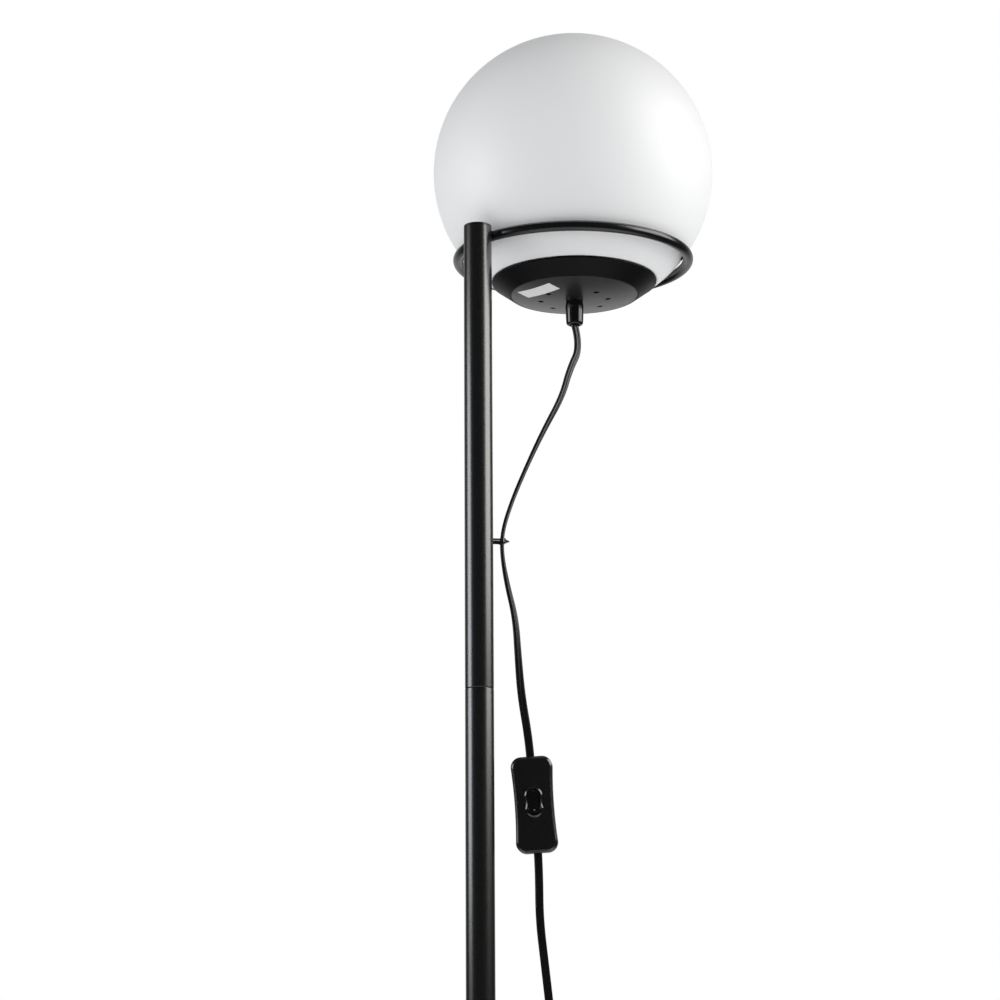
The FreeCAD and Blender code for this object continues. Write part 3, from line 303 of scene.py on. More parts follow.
# the words of a finish that are set on the shader's own socket
shaderWords = {"metal": "Metallic", "ior": "IOR", "coat": "Coat Weight",
               "coatRough": "Coat Roughness", "sheen": "Sheen Weight",
               "scatter": "Subsurface Weight", "scatterDepth": "Subsurface Scale",
               "scatterReach": "Subsurface Radius"}
finishes = {
    "satinBlackCoat": {"dark": (0.0011, 0.0011, 0.0012), "light": (0.0022, 0.0021, 0.0022),
                       "rough": 0.28, "roughSpread": 0.02, "grain": 2200.0, "bump": 0.03,
                       "bumpDepth": 0.00004, "dust": 0.08, "ior": 2.55},
    "baseBlackCoat": {"dark": (0.0040, 0.0040, 0.0042), "light": (0.0070, 0.0069, 0.0070),
                      "rough": 0.36, "roughSpread": 0.05, "grain": 2200.0, "bump": 0.12,
                      "bumpDepth": 0.00004, "dust": 0.08, "ior": 1.55},
    "hoopBlackCoat": {"dark": (0.0036, 0.0036, 0.0040), "light": (0.0060, 0.0059, 0.0062),
                      "rough": 0.22, "roughSpread": 0.03, "grain": 2200.0, "bump": 0.05,
                      "bumpDepth": 0.00004, "dust": 0.05, "ior": 1.9},
    "matteBlackCoat": {"dark": (0.0026, 0.0026, 0.0026), "light": (0.0044, 0.0043, 0.0042),
                       "rough": 0.42, "grain": 1800.0, "bump": 0.22, "bumpDepth": 0.00006,
                       "ior": 1.27},
    "domeBlackCoat": {"dark": (0.0050, 0.0050, 0.0050), "light": (0.0080, 0.0079, 0.0077),
                      "rough": 0.30, "grain": 1800.0, "bump": 0.20, "bumpDepth": 0.00006,
                      "ior": 2.15},
    "glossBlackPlastic": {"dark": (0.0045, 0.0045, 0.0050), "light": (0.0070, 0.0070, 0.0074),
                          "rough": 0.15, "roughSpread": 0.04, "grain": 500.0, "bump": 0.05,
                          "coat": 0.5, "coatRough": 0.08, "ior": 1.6},
    "satinBlackPlastic": {"dark": (0.0050, 0.0050, 0.0050), "light": (0.0082, 0.0082, 0.0080),
                          "rough": 0.24, "roughSpread": 0.05, "grain": 2600.0, "bump": 0.16,
                          "bumpDepth": 0.00005, "dust": 0.04, "ior": 2.15},
    "cordSheath": {"dark": (0.0050, 0.0050, 0.0052), "light": (0.0085, 0.0085, 0.0084),
                   "rough": 0.27, "roughSpread": 0.08, "grain": 700.0, "coarse": 0.8,
                   "bump": 0.14, "bumpDepth": 0.00005, "dust": 0.04, "ior": 1.6},
    "blackFoam": {"dark": (0.010, 0.010, 0.010), "light": (0.026, 0.026, 0.026),
                  "rough": 0.92, "grain": 900.0, "bump": 0.8, "bumpDepth": 0.0002,
                  "sheen": 0.1},
    "blackGasket": {"dark": (0.008, 0.008, 0.008), "light": (0.016, 0.016, 0.016),
                    "rough": 0.6, "grain": 900.0},
    "castIron": {"dark": (0.05, 0.048, 0.046), "light": (0.12, 0.115, 0.11), "rough": 0.72,
                 "grain": 420.0, "coarse": 0.9, "bump": 0.8, "bumpDepth": 0.0004,
                 "metal": 0.7},
    "zincSteel": {"dark": (0.52, 0.53, 0.55), "light": (0.68, 0.69, 0.70), "rough": 0.3,
                  "grain": 900.0, "metal": 1.0},
    "boardAluminium": {"dark": (0.66, 0.67, 0.68), "light": (0.78, 0.79, 0.80), "rough": 0.38,
                       "grain": 900.0, "metal": 1.0},
    "nickelPlate": {"dark": (0.62, 0.60, 0.56), "light": (0.74, 0.72, 0.68), "rough": 0.16,
                    "roughSpread": 0.08, "grain": 700.0, "bump": 0.08, "metal": 1.0},
    "contactBrass": {"dark": (0.62, 0.44, 0.18), "light": (0.76, 0.58, 0.27), "rough": 0.28,
                     "grain": 700.0, "bump": 0.1, "metal": 1.0},
    "opalGlass": {"dark": (0.850, 0.862, 0.876), "light": (0.880, 0.888, 0.896), "rough": 0.42,
                  "roughSpread": 0.03, "grain": 500.0, "bump": 0.04, "tintScale": 5.0,
                  "scatter": 0.25, "scatterDepth": 0.004, "scatterReach": (1.0, 1.0, 1.0)},
    "milkyDome": {"dark": (0.84, 0.84, 0.82), "light": (0.88, 0.88, 0.86), "rough": 0.45,
                  "grain": 700.0, "bump": 0.1},
    "whitePlastic": {"dark": (0.80, 0.80, 0.79), "light": (0.85, 0.85, 0.84), "rough": 0.4,
                     "grain": 1500.0, "bump": 0.15},
    "greyMark": {"dark": (0.26, 0.26, 0.25), "light": (0.34, 0.34, 0.33), "rough": 0.45,
                 "grain": 1500.0, "bump": 0.1},
    "labelPaper": {"dark": (0.74, 0.74, 0.73), "light": (0.83, 0.83, 0.82), "rough": 0.55,
                   "grain": 1600.0, "coarse": 0.9, "bump": 0.3, "tintScale": 90.0},
}
materials = {name: finishOf(name, given) for name, given in finishes.items()}
print("materials built:", len(materials))


cordLook = {
    "width": 6.7, "thickness": 3.3,
    "groove": 0.2,          # share of half the thickness
    "edgeFrom": 0.25, "edgeOver": 0.2,   # metres: height below which, and over which, it turns up
    "flatTail": 30,         # points before the plug over which it lies flat again
}
# the routes' points and the turn of the cord's wide side there, in degrees from the picture's plane
upperRoute = np.array([
    (112.7, 0, 1244, 34), (119.2, 0, 1226, 40), (104.9, -1, 1203, 52), (91.6, -5, 1176, 64),
    (71.7, -3, 1144, 78), (54.6, 0, 1111, 90), (38.6, 2, 1078, 92), (26.1, 0.5, 1050, 92),
    (25.3, -0.5, 1030, 86), (30.4, -1, 1007, 68), (37.6, -3, 980, 54), (41.2, -2, 948, 38),
    (46.3, 0, 918, 14), (54.0, 0, 885.031, -2.5), (55.8, 0, 869.096, -2.5)])
lowerRoute = np.array([
    (63.547, 0, 792.304, -2.5), (64.6, 0, 776.369, -2.5), (64.6, 0, 740, -4),
    (70.2, 0, 704, -5), (79.6, 2, 655, -2), (84, 6, 600, 4), (88, 10, 535, 10),
    (94, 10, 465, 20), (104, 6, 395, 30), (113, 4, 325, 38), (120, 8, 260, 42),
    (129, 16, 200, 45), (139, 22, 145, 45), (146, 22, 95, 45), (149, 15, 52, 45),
    (148.5, -4, 18, 45), (146, -29, 3.1, 45), (146, -55.8, 3.1, 45)])
coilLook = {
    "start": (146, -62, 3.1), "turns": (38, 34.5, 31, 27.5, 24, 27.5, 31, 34.5, 38),
    "climbTurn": 4, "layer": 6.4, "pointsPerHalfTurn": 7,
    "plugFace": (225, -22, 6.85), "straight": 6.2,
}


# half turns end to end: the points of each stand on a half circle a little wider than the turn,
# so that a spline pulled inwards by its points runs along the turn itself; one of them climbs to
# the second layer by a smooth step, and a straight tail ends at the plug's face
def coilRoute():
    here, east, rows = np.array(coilLook["start"]), 1, []
    count = coilLook["pointsPerHalfTurn"]
    step = (np.arange(count) + 0.5) / count
    for number, radius in enumerate(coilLook["turns"]):
        climb = coilLook["layer"] if number == coilLook["climbTurn"] else 0
        reach = radius / math.cos(math.pi / (2 * count))
        rows.append(np.stack([here[0] + east * (radius - reach * np.cos(math.pi * step)),
                              here[1] - east * reach * np.sin(math.pi * step),
                              here[2] + climb * (3 * step ** 2 - 2 * step ** 3)], axis=-1))
        here, east = here + np.array((2 * radius * east, 0, climb)), -east
    face = np.array(coilLook["plugFace"])
    away = np.array((0, coilLook["straight"], 0))
    tail = np.stack([here + 1.2 * away, 0.5 * (here + face) + 0.2 * away, face - 2 * away,
                     face - away, face])
    return np.concatenate(rows + [tail])


# a NURBS line of order 3 with the route's points as its control points, read back from Blender
def splineThrough(name, points):
    curve = bpy.data.curves.new(name, "CURVE")
    curve.dimensions = "3D"
    spline = curve.splines.new("NURBS")
    spline.points.add(len(points) - 1)
    flat = np.concatenate([points, np.ones((len(points), 1))], axis=1)
    spline.points.foreach_set("co", flat.ravel())
    spline.order_u = 3
    spline.use_endpoint_u = True
    spline.resolution_u = 12
    holder = bpy.data.objects.new(name, curve)
    line = bpy.data.meshes.new_from_object(holder)
    found = np.zeros(len(line.vertices) * 3)
    line.vertices.foreach_get("co", found)
    bpy.data.objects.remove(holder)
    bpy.data.meshes.remove(line)
    return found.reshape(-1, 3)


# outline of the flat twin cord: a half circle at either side, and between them two long faces
# that sink to a shallow groove by a raised cosine
def twinSection():
    lobe = cordLook["thickness"] / 2 * mm
    offset = cordLook["width"] / 2 * mm - lobe
    bow = np.linspace(-math.pi / 2, math.pi / 2, 11)
    flatPlace = np.linspace(1, -1, 13)[1:-1]
    sunk = lobe * (1 - cordLook["groove"] * (0.5 + 0.5 * np.cos(math.pi * flatPlace)) ** 2)
    across = np.concatenate([offset + lobe * np.cos(bow), offset * flatPlace,
                             -offset - lobe * np.cos(bow), -offset * flatPlace])
    through = np.concatenate([lobe * np.sin(bow), sunk, -lobe * np.sin(bow), -sunk])
    return across, through


# the section carried along a line: the wide direction is squared to the tangent, and each point
# is line + wide * across + thin * through; both ends close to a point
def sweptCord(name, line, wide):
    tangent = np.gradient(line, axis=0)
    tangent /= np.linalg.norm(tangent, axis=1, keepdims=True)
    wide = wide - (wide * tangent).sum(1, keepdims=True) * tangent
    wide /= np.linalg.norm(wide, axis=1, keepdims=True)
    thin = np.cross(tangent, wide)
    across, through = twinSection()
    points = (line[:, None, :] + wide[:, None, :] * across[None, :, None]
              + thin[:, None, :] * through[None, :, None])
    ends = np.stack([np.repeat(line[:1], len(across), 0), np.repeat(line[-1:], len(across), 0)])
    return meshFrom(name, np.concatenate([ends[:1], points, ends[1:]]), sharp=50)


# the wide direction along the line: the turn given at each route point, blended by length
def facingAlong(line, route, degrees):
    runs = np.linalg.norm(np.diff(route, axis=0), axis=1)
    steps = np.linalg.norm(np.diff(line, axis=0), axis=1)
    routeAt = np.concatenate([[0], np.cumsum(runs)]) / runs.sum()
    lineAt = np.concatenate([[0], np.cumsum(steps)]) / steps.sum()
    turn = np.radians(np.interp(lineAt, routeAt, degrees))[:, None]
    return np.cos(turn) * aside + np.sin(turn) * ahead


# sum of the distances from point to point
def lengthOf(line):
    return float(np.linalg.norm(np.diff(line, axis=0), axis=1).sum())


upperPoints = upperRoute[:, :3] * mm
upperLine = splineThrough("upperRoute", upperPoints)
upperFacing = facingAlong(upperLine, upperPoints, upperRoute[:, 3])
cordUpper = addPiece("cordUpper", sweptCord("cordUpper", upperLine, upperFacing), "stand",
                     "cordSheath", ["cord_upper"])
coil = coilRoute()
lowerPoints = np.concatenate([lowerRoute[:, :3], coil]) * mm
lowerLine = splineThrough("lowerRoute", lowerPoints)
lowerFacing = facingAlong(lowerLine, lowerPoints, np.concatenate([
    lowerRoute[:, 3], np.full(len(coil), lowerRoute[-1, 3])]))
# near the floor the wide side turns upright, and before the plug it lies flat along X
flatEnd = np.zeros((len(lowerLine), 1))
flatEnd[-cordLook["flatTail"]:, 0] = np.linspace(0, 1, cordLook["flatTail"])
lowered = (cordLook["edgeFrom"] - lowerLine[:, 2:3]) / cordLook["edgeOver"]
onEdge = np.clip(lowered, 0, 1) * (1 - flatEnd)
lowerFacing = (1 - onEdge) * lowerFacing + onEdge * upward
lowerFacing = lowerFacing * (1 - flatEnd) + flatEnd * np.array((1.0, 0, 0))
cordLower = addPiece("cordLower", sweptCord("cordLower", lowerLine, lowerFacing), "stand",
                     "cordSheath", ["cord_lower", "cord_coil"])
print("cords laid: %.3f m and %.3f m" % (lengthOf(upperLine), lengthOf(lowerLine)))


headCentre = (112.7, 0, 1380)   # of the globe, on the axis that the cap and gland share
glassLook = {"outer": 120, "wall": 3, "mouthDrop": 96.4}


# glass: an outer circle from the top down to the mouth, a half circle round the lip, and an inner
# circle back to the top
def glassProfile():
    outer, wall = glassLook["outer"], glassLook["wall"]
    mouth = math.acos(-glassLook["mouthDrop"] / outer)
    down = np.linspace(0, mouth, 150)
    bow = np.linspace(0, math.pi, 9)[1:-1]
    lip = (outer - wall / 2) + wall / 2 * np.cos(bow)
    slip = mouth + wall / 2 * np.sin(bow) / (outer - wall / 2)
    back = down[::-3]
    reach = np.concatenate([np.full(len(down), outer), lip, np.full(len(back), outer - wall)])
    angle = np.concatenate([down, slip, back])
    return np.stack([reach * np.sin(angle), reach * np.cos(angle)], axis=-1)


addPiece("glassGlobe", turnedMesh("glassGlobe", glassProfile(), headCentre, 224),
         "head", "opalGlass", ["glass_globe"])

hoopLook = {"centre": (111.6, 0, 1301.0), "radius": 98.2, "bar": 4.4, "lean": (0.0075, 0.0155)}
addPiece("hoopRing", ringMesh("hoopRing", **hoopLook), "stand", "hoopBlackCoat",
         ["support_ring"])
print("globe and hoop made")


poleLook = {"radius": 11.55, "inner": 10.35, "bevel": 0.45, "sideRound": 0.2, "endRound": 0.02,
            "lengths": {"poleLower": (18, 468.3, "pole_lower"),
                        "poleMiddle": (468.3, 918.6, "pole_middle"),
                        "poleUpper": (918.6, 1305.5, "pole_upper")}}


# pole length: a closed outline with a small rounded bevel at both ends of its outer side
def poleProfile(low, high):
    radius, inner, bevel = poleLook["radius"], poleLook["inner"], poleLook["bevel"]
    side, end = poleLook["sideRound"], poleLook["endRound"]
    return roundedLine([(inner, low), (radius - bevel, low, end), (radius, low + bevel, side),
                        (radius, high - bevel, side), (radius - bevel, high, end),
                        (inner, high)])


for name, (low, high, node) in poleLook["lengths"].items():
    addPiece(name, turnedMesh(name, poleProfile(low, high), segments=144, loop=True), "stand",
             "satinBlackCoat", [node])

# radii, and heights from the globe's centre; belly, side and lip are (radius, height, rounding)
glandLook = {"seat": -115.8, "shoulder": 7.2, "belly": (7.85, -118.5, 2.0),
             "side": (7.5, -130, 3.0), "lip": (7.1, -136, 2.3), "mouth": 4.9,
             "bore": 3.4, "boreStart": -134.4, "thread": 5.05, "threadEnd": -129}


# gland: from its seat under the cap down a slightly tapered side, round the lip into the bore, and
# out to the thread
def glandProfile():
    seat, bore, inside = glandLook["seat"], glandLook["bore"], glandLook["threadEnd"]
    lip, thread = glandLook["lip"], glandLook["thread"]
    return roundedLine([(thread, seat), (glandLook["shoulder"], seat, 0.4), glandLook["belly"],
                        glandLook["side"], lip, (glandLook["mouth"], lip[1], 0.5),
                        (bore, glandLook["boreStart"], 0.5), (bore, inside, 0.1),
                        (thread, inside, 0.1)])


addPiece("cordGland", turnedMesh("cordGland", glandProfile(), headCentre, 96, loop=True), "head",
         "glossBlackPlastic", ["cord_gland"])
print("pole and gland made")


# heights from the floor, half widths, and places along X from the pole's axis
clipLook = {"height": 1041.0, "climb": 0.13, "eye": 25.7, "eyeHalf": (2.6, 4.3),
            "strap": (0.66, 2.3), "strapPower": 0.6, "stem": 2.5, "stemEnds": (8, 23.2),
            "collar": 3.6, "collarAt": (11.2, 12.1, 12.6, 12.8), "collarBevel": 0.5,
            "barPower": 1.25, "tail": 27.4, "tip": 34.4, "barb": (2.6, 1.3),
            "barbRound": (0.6, 0.95)}


# height of the clip's middle, which rises a little away from the pole
def clipHeight(along):
    return clipLook["height"] + clipLook["climb"] * (along - poleLook["radius"])


# the clip's eye: a flat soft oval carried upright round the cord along a true oval
def clipEye():
    angle, section = roundAngles(72)[:, None], roundAngles(28)[None, :]
    thick, tall = clipLook["strap"]
    across, upright = softOval(section, clipLook["strapPower"])
    outward, rise = thick * across, tall * upright
    alongX, alongY = clipLook["eyeHalf"]
    wide = np.stack([ahead[0] * np.sin(angle) * alongY + aside[0] * np.cos(angle) * alongX,
                     ahead[1] * np.sin(angle) * alongY + aside[1] * np.cos(angle) * alongX])
    unit = wide / np.linalg.norm(wide, axis=0)
    along = clipLook["eye"] + wide[0] + unit[0] * outward
    points = np.stack([along, wide[1] + unit[1] * outward, clipHeight(along) + rise], -1)
    return meshFrom("clipEye", points * mm, wrapRows=True)


# a bar along X whose section is a soft oval that comes to an edge at the front: the profile gives
# half its width, half its height and its place along X
def barAlongX(name, profile):
    angle = roundAngles(48)[None, :]
    half, tall, place = (profile[:, number:number + 1] for number in range(3))
    across, rise = softOval(angle, clipLook["barPower"])
    points = np.stack([place + 0 * angle, half * across, clipHeight(place) + tall * rise], -1)
    return meshFrom(name, points * mm)


# clip: a stem with a collar on the pole's side, the eye, and a tail whose half sizes are one part
# that falls in a straight line plus one that ends in a round tip
def cordClip():
    stem, collar = clipLook["stem"], clipLook["collar"]
    first, last = clipLook["stemEnds"]
    back, front, bevelled, foot = clipLook["collarAt"]
    narrow = collar - clipLook["collarBevel"]
    stemShape = [(0, first), (stem, first), (stem, back), (collar, back), (collar, front),
                 (narrow, bevelled), (stem, foot), (stem, last), (0, last)]
    stemShape = np.array([(half, half, place) for half, place in stemShape])
    start, reach = clipLook["tail"], clipLook["tip"] - clipLook["tail"]
    share = np.linspace(0, 1, 12)
    rounded = np.sqrt(1 - share ** 1.6)
    half, tall = (straight * (1 - share) + bow * rounded for straight, bow
                  in zip(clipLook["barb"], clipLook["barbRound"]))
    tail = np.stack([half, tall, start + reach * share], axis=-1)
    tail = np.concatenate([[(0, 0, start)], tail])
    return joinMeshes("cordClip", [clipEye(), barAlongX("clipStem", stemShape),
                                   barAlongX("clipTail", tail)])


addPiece("cordClip", cordClip(), "stand", "glossBlackPlastic", ["cord_clip"])


switchLook = {
    "place": (60.1, 0, 830.7), "turn": -46, "lean": -5.13,    # degrees
    "halfWidth": 16.8, "halfLength": 38.55, "corner": 8.5, "waist": 1.2,
    "front": 11, "wall": 2, "bevel": 2.0, "columns": 240,
    "bezel": 1.6, "rise": 1.15, "gap": 0.45,
}
# up: along the housing from its middle; pivot and foot: depths; swing and dish: radii
rockerLook = {"halfWidth": 5.2, "halfLength": 10.1, "corner": 5.1, "waist": 0.8, "up": 1.9,
              "pivot": 7.6, "tilt": -7, "swing": 10.1, "swingDepth": 8, "dish": 36,
              "proud": 0.2, "edge": 0.6, "skirt": 1.6, "footInset": 5.0, "foot": 1.5,
              "dot": (0, -6.9, 0.55), "dotRise": 0.3, "dotSunk": 0.03}


# closed outline of a rounded oblong whose long sides draw in by a parabola, resampled so that
# its points stand evenly along it, starting at the middle of the +X side
def waistedOutline(look, inset):
    halfWidth, halfLength = look["halfWidth"] - inset, look["halfLength"] - inset
    corner = look["corner"] - inset
    bow = np.linspace(0, math.pi / 2, 30)
    across = np.concatenate([np.full(40, halfWidth), halfWidth - corner + corner * np.cos(bow),
                             np.linspace(halfWidth - corner, 0, 12)])
    along = np.concatenate([np.linspace(0, halfLength - corner, 40),
                            halfLength - corner + corner * np.sin(bow),
                            np.full(12, halfLength)])
    across -= look["waist"] * np.clip(1 - (along / (halfLength - corner)) ** 2, 0, 1)
    across = np.concatenate([across, -across[::-1], -across, across[::-1]])
    along = np.concatenate([along, along[::-1], -along, -along[::-1]])
    run = np.concatenate([[0], np.cumsum(np.hypot(np.diff(across), np.diff(along)))])
    place = np.arange(switchLook["columns"]) / switchLook["columns"] * run[-1]
    return np.stack([np.interp(place, run, across), np.interp(place, run, along)], axis=-1)


# from the switch's own millimetres (front towards -Y, cord along Z) to the lamp's frame: turned
# about its long axis, leaned, and moved to its place
def inSwitch(points):
    turn, lean = math.radians(switchLook["turn"]), math.radians(switchLook["lean"])
    turning = np.array([(math.cos(turn), -math.sin(turn), 0),
                        (math.sin(turn), math.cos(turn), 0), (0, 0, 1)])
    leaning = np.array([(math.cos(lean), 0, math.sin(lean)), (0, 1, 0),
                        (-math.sin(lean), 0, math.cos(lean))])
    return (points @ (leaning @ turning).T + np.array(switchLook["place"])) * mm


# outlines (across, along) laid at their depths, as rows of points
def asRows(rows):
    return np.stack([np.stack([outline[:, 0], depth + 0 * outline[:, 0], outline[:, 1]], -1)
                     for outline, depth in rows])


# the rocker's outline grown on all sides, at the rocker's place in the face
def rockerOutline(grow):
    return waistedOutline(rockerLook, -grow) + np.array((0, rockerLook["up"]))


# front cover: rows of outlines from the parting line up the side (inset, depth), over the bevel,
# across the face (a blend of housing outline and bezel foot), up the bezel's slope, down into the
# rocker's hole and back along the inside
def switchFront():
    front, wall, bevel = switchLook["front"], switchLook["wall"], switchLook["bevel"]
    gap, bezel, rise = switchLook["gap"], switchLook["bezel"], switchLook["rise"]
    side = [(0.45, 0.05), (0.05, 0.5), (0, 0.8), (0, front - bevel - 0.15), (0.12, front - bevel),
            (0.2, front - bevel + 0.12), (bevel - 0.2, front - 0.14),
            (bevel - 0.08, front - 0.05), (bevel + 0.3, front)]
    rows = [(waistedOutline(switchLook, inset), -depth) for inset, depth in side]
    face, foot = waistedOutline(switchLook, bevel + 0.3), rockerOutline(gap + bezel + 0.4)
    rows += [(face * (1 - share) + foot * share, -front) for share in
             (0.06, 0.25, 0.5, 0.75, 0.92, 1)]
    slope, top = bezel - 0.35, -front - rise
    rows += [(rockerOutline(gap + bezel + 0.08), -front - 0.02),
             (rockerOutline(gap + bezel - 0.1), -front - 0.14)]
    rows += [(rockerOutline(gap + bezel - slope * share), -front - rise * share)
             for share in (0.3, 0.6, 0.9)]
    rows += [(rockerOutline(gap + 0.28), top), (rockerOutline(gap + 0.1), top),
             (rockerOutline(gap), top + 0.15), (rockerOutline(gap), wall - front)]
    rows += [(waistedOutline(switchLook, wall), depth) for depth in (wall - front, -0.05)]
    return meshFrom("switchFront", inSwitch(asRows(rows)), wrapRows=True, sharp=40)


# rocker's top: a hollow arc of the dish's radius, whose depth depends on the place along Z only
def dishDepth(along):
    dish = rockerLook["dish"]
    return (rockerLook["pivot"] - switchLook["front"] - rockerLook["proud"] - dish
            + np.sqrt(dish ** 2 - along ** 2))


# rocker: rows from its hidden foot up the side, over a small round and in across the dished top;
# its ends keep to the circle that they swing on, and the foot's first row shrinks to a point
def rockerBlock():
    edge, rows = rockerLook["edge"], []
    for inset in (rockerLook["footInset"], 0):
        outline = waistedOutline(rockerLook, inset)
        rows.append((outline[:, 0], rockerLook["foot"] + 0 * outline[:, 1], outline[:, 1]))
    rounding = [(edge * (1 - math.cos(angle)), edge * (1 - math.sin(angle)))
                for angle in np.linspace(0, math.pi / 2, 6)]
    for inset, sink in [(0, rockerLook["skirt"])] + rounding:
        outline = waistedOutline(rockerLook, inset)
        rows.append((outline[:, 0], dishDepth(outline[:, 1]) + sink, outline[:, 1]))
    rim = waistedOutline(rockerLook, edge)
    for share in np.linspace(0.9, 0, 10):
        rows.append((rim[:, 0] * share, dishDepth(rim[:, 1] * share), rim[:, 1] * share))
    points = np.stack([np.stack(row, axis=-1) for row in rows])
    deepest = rockerLook["swingDepth"]
    reach = np.sqrt(rockerLook["swing"] ** 2 - np.clip(points[..., 1], -deepest, deepest) ** 2)
    points[..., 2] = np.clip(points[..., 2], -reach, reach)
    points[0, :, [0, 2]] *= 0.001
    return points


# the rocker's dot: a low dome whose rise falls off as a cosine from its middle
def rockerDot():
    middle, along, radius = rockerLook["dot"]
    angle, reach = roundAngles(32)[None, :], radius * np.linspace(1, 0, 8)[:, None]
    height = rockerLook["dotRise"] * np.cos(reach / radius * math.pi / 2) - rockerLook["dotSunk"]
    place = along + reach * np.sin(angle)
    return np.stack([middle + reach * np.cos(angle), dishDepth(place) - height, place], axis=-1)


# from the rocker's own millimetres to the lamp's frame: tilted about its pins, then as the switch
def inRocker(points):
    tilt = math.radians(rockerLook["tilt"])
    tilting = np.array([(1, 0, 0), (0, math.cos(tilt), -math.sin(tilt)),
                        (0, math.sin(tilt), math.cos(tilt))])
    return inSwitch(points @ tilting.T + np.array((0, -rockerLook["pivot"], rockerLook["up"])))


addPiece("switchFront", switchFront(), "stand", "satinBlackPlastic",
         ["switch_front"])
addPiece("switchRocker", meshFrom("switchRocker", inRocker(rockerBlock())), "rocker",
         "glossBlackPlastic", ["switch_rocker"])
addPiece("rockerDot", meshFrom("rockerDot", inRocker(rockerDot())), "rocker", "greyMark",
         [])
print("clip and switch made")


# neck: half width and half height; swellOver and closing: shares of the length
plugLook = {"place": (225, 0, 6.85), "length": 34, "halfWidth": 17.65, "halfHeight": 6.85,
            "neck": (8.6, 5.0), "power": 0.55, "swellOver": 0.6, "opening": 0.08,
            "closing": (0.93, 0.07)}
# tube: half width and half height at the cord's end; widening: growth of both towards the plug,
# and what the height grows more
reliefLook = {"start": -22, "length": 22, "ribs": 5, "ribRise": 0.55, "tube": (3.2, 1.9),
              "widening": (1.9, 0.9)}


# plug: soft ovals along Y, from a narrow neck that swells by a smooth step to full width, with
# both ends drawn in to a point
def plugBody():
    share = np.concatenate([np.linspace(0, 0.08, 6), np.linspace(0.1, 0.9, 26),
                            np.linspace(0.92, 1, 8)])[:, None]
    swell = np.clip(share / plugLook["swellOver"], 0, 1)
    swell = swell * swell * (3 - 2 * swell)
    closingFrom, closingOver = plugLook["closing"]
    opened = 1 - (1 - np.minimum(share / plugLook["opening"], 1)) ** 2
    closed = 1 - np.maximum((share - closingFrom) / closingOver, 0) ** 3
    ends = np.sqrt(np.clip(opened, 0, 1) * np.clip(closed, 0, 1))
    neckWidth, neckHeight = plugLook["neck"]
    width = (neckWidth + (plugLook["halfWidth"] - neckWidth) * swell) * ends
    tall = (neckHeight + (plugLook["halfHeight"] - neckHeight) * swell) * ends
    angle = roundAngles(72)[None, :]
    across, rise = softOval(angle, plugLook["power"])
    x, y, z = plugLook["place"]
    along = y + plugLook["length"] * share + 0 * angle
    points = np.stack([x + width * across, along, z + tall * rise], axis=-1)
    return meshFrom("plugBody", points * mm)


# relief: an oval tube that widens towards the plug, with ribs by a squared sine, closed at the
# middle of both ends
def plugRelief():
    share = np.linspace(0, 1, 90)[:, None]
    rib = reliefLook["ribRise"] * np.sin(math.pi * reliefLook["ribs"] * share) ** 2
    (half, tall), (wider, taller) = reliefLook["tube"], reliefLook["widening"]
    grow = wider * share + rib
    width, height = half + grow, tall + taller * share + grow
    angle = roundAngles(48)[None, :]
    x, y, z = plugLook["place"]
    along = y + reliefLook["start"] + reliefLook["length"] * share + 0 * angle
    points = np.stack([x + width * np.cos(angle), along, z + height * np.sin(angle)], axis=-1)
    ends = points[[0, -1]].mean(axis=1, keepdims=True).repeat(angle.size, axis=1)
    return meshFrom("plugRelief", np.concatenate([ends[:1], points, ends[1:]]) * mm, sharp=60)


addPiece("plugBody", plugBody(), "stand", "satinBlackPlastic", ["plug_body"])
addPiece("plugRelief", plugRelief(), "stand", "satinBlackPlastic",
         ["plug_relief"])
print("plug made")
# finishes of the CAD nodes that stay
nodeFinish = {
    "baseBlackCoat": ["base_cover"],
    "satinBlackCoat": ["pole_top_cap", "ring_saddle"],
    "matteBlackCoat": ["cap_shell"],
    "domeBlackCoat": ["cap_disc"],
    "castIron": ["base_weight"],
    "blackFoam": ["base_pad"],
    "blackGasket": ["cap_gasket", "bridge_pads", "ring_rests"],
    "zincSteel": ["base_bolt", "base_washer", "pole_foot_insert", "pole_stud_low",
                  "pole_stud_high", "pole_socket_low", "pole_socket_high", "clamp_bridge",
                  "threaded_nipple", "nipple_nut", "gland_screw", "terminal_screws",
                  "switch_screws"],
    "milkyDome": ["bulb_dome"],
    "whitePlastic": ["bulb_housing"],
    "labelPaper": ["blank_label"],
    "boardAluminium": ["led_board"],
    "nickelPlate": ["bulb_cap", "plug_pins"],
    "contactBrass": ["holder_thread", "holder_contacts", "bulb_contact", "switch_contacts",
                     "rocker_contact"],
    "satinBlackPlastic": ["switch_back", "holder_base", "holder_shell", "holder_core",
                          "plug_sleeves", "cord_clamps", "rocker_cradle"],
    "cordSheath": ["cord_end", "switch_cord_ends", "holder_leads"],
}
for finish, names in nodeFinish.items():
    for name in names:
        mesh = nodes[name].data
        mesh.materials.clear()
        mesh.materials.append(materials[finish])
print("CAD nodes dressed")


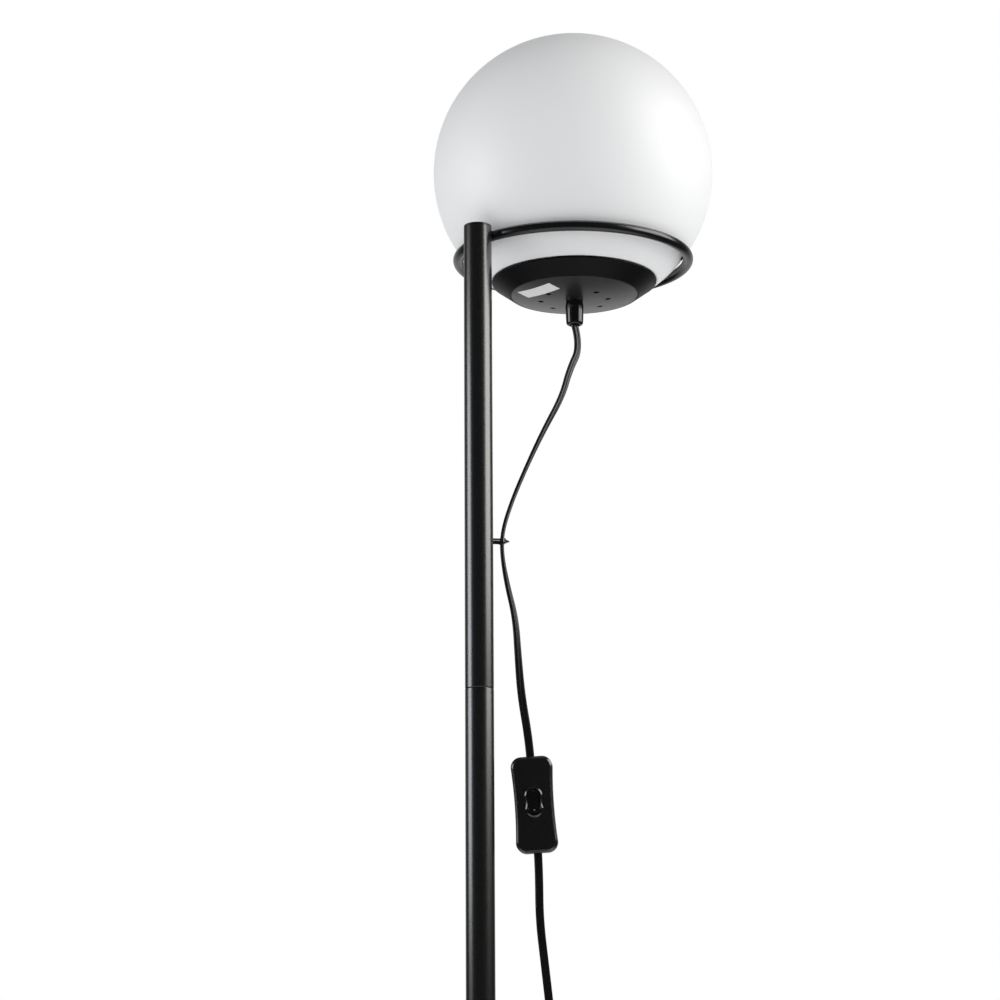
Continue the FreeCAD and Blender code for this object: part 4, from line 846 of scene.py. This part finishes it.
studio = {
    "floorRadius": 2.4, "floorHeight": -0.0004, "floorFade": (0.55, 1.5),
    "floorColour": (0.80, 0.80, 0.80, 1), "floorRough": 0.7,
    "ambient": 0.745,       # of the world on matte surfaces, from the level direction
    "ambientTilt": -0.52,   # share that it changes by towards straight up
    "backdrop": 0.6,        # of the world behind the lamp, in gloss
    "backdropLift": 0.16,   # radians that its middle lies above the level direction of view
    "backdropFade": (0.62, 0.97),   # cosines of the angle to its middle where it ends and is full
    "surround": 0.005,      # of the rest of the world, in gloss
    "aim": (0.1, 0.0), "aimTop": 1.5,
    # azimuth from the camera's side (+ to the picture's right), height of the middle, distance,
    # width, height, radiance, colour
    "lamps": {
        "rightSoftbox": (80, 1.96, 1.6, 1.58, 1.46, 2.75, (1.0, 0.985, 0.955)),
        "leftSoftbox": (-82, 1.31, 1.6, 0.84, 0.82, 2.75, (0.93, 0.965, 1.0)),
    },
}


# a rectangular lamp that stands off from the aim and looks at it, at its own height or the top
def addLamp(name, azimuth, height, distance, width, tall, radiance, colour):
    turn = math.radians(azimuth)
    aim = np.array((*studio["aim"], min(height, studio["aimTop"])))
    place = np.array((*studio["aim"], height)) + distance * (
        math.sin(turn) * aside - math.cos(turn) * ahead)
    lamp = bpy.data.lights.new(name, "AREA")
    lamp.shape, lamp.size, lamp.size_y = "RECTANGLE", width, tall
    lamp.energy, lamp.color = radiance * math.pi * width * tall, colour
    holder = linkObject(name, lamp)
    holder.location = place
    holder.rotation_euler = Vector(aim - place).to_track_quat("-Z", "Y").to_euler()
    holder.visible_camera = False


for name, values in studio["lamps"].items():
    addLamp(name, *values)


# world: white where seen straight or through glass; in gloss a pale backdrop behind the lamp that
# fades out to the sides; on matte surfaces a level that falls with the height of the direction
def buildWorld():
    world = bpy.data.worlds.new("studioWorld")
    bpy.context.scene.world = world
    world.use_nodes = True
    tree = world.node_tree
    background = tree.nodes["Background"]
    path = addNode(tree, "LightPath")
    direction = addNode(tree, "TexCoord").outputs["Generated"]
    lift = studio["backdropLift"]
    towards = addNode(tree, "VectorMath", operation="DOT_PRODUCT")
    feed(tree, towards, i0=direction,
         i1=tuple(math.cos(lift) * ahead + math.sin(lift) * upward))
    behind = addNode(tree, "MapRange", interpolation_type="SMOOTHSTEP")
    feed(tree, behind, Value=towards.outputs["Value"], From_Min=studio["backdropFade"][0],
         From_Max=studio["backdropFade"][1], To_Min=studio["surround"],
         To_Max=studio["backdrop"])
    seen = mathNode(tree, "MAXIMUM", path.outputs["Is Camera Ray"],
                    path.outputs["Is Transmission Ray"])
    gloss = path.outputs["Is Glossy Ray"]
    rise = feed(tree, addNode(tree, "SeparateXYZ"), Vector=direction).outputs["Z"]
    level = mathNode(tree, "MULTIPLY_ADD", rise, studio["ambient"] * studio["ambientTilt"],
                     studio["ambient"])
    dull = mathNode(tree, "MULTIPLY", level, mathNode(tree, "SUBTRACT", 1.0, gloss))
    unseen = mathNode(tree, "MULTIPLY_ADD", gloss, behind.outputs["Result"], dull)
    strength = mathNode(tree, "MAXIMUM", seen, mathNode(
        tree, "MULTIPLY", unseen, mathNode(tree, "SUBTRACT", 1.0, seen)))
    feed(tree, background, Color=(1, 1, 1, 1), Strength=strength)


buildWorld()


# floor: a flat disc that is solid near the lamp and fades out into the white around it
def buildFloor():
    material = bpy.data.materials.new("paleFloor")
    material.use_nodes = True
    tree = material.node_tree
    point = addNode(tree, "TexCoord").outputs["Object"]
    reach = addNode(tree, "VectorMath", operation="LENGTH")
    feed(tree, reach, i0=point)
    fade = addNode(tree, "MapRange", interpolation_type="SMOOTHSTEP")
    feed(tree, fade, Value=reach.outputs["Value"], From_Min=studio["floorFade"][0],
         From_Max=studio["floorFade"][1], To_Min=1.0, To_Max=0.0)
    feed(tree, tree.nodes["Principled BSDF"], Base_Color=studio["floorColour"],
         Roughness=studio["floorRough"], Alpha=fade.outputs["Result"])
    angle = roundAngles(64)[None, :]
    radius = studio["floorRadius"] * np.array((1, 0.001))[:, None]
    points = np.stack([radius * np.cos(angle), radius * np.sin(angle),
                       studio["floorHeight"] + 0 * radius * angle], axis=-1)
    mesh = meshFrom("studioFloor", points)
    mesh.materials.append(material)
    linkObject("studioFloor", mesh)


buildFloor()
bpy.context.scene.view_settings.view_transform = "Standard"
print("studio lit")
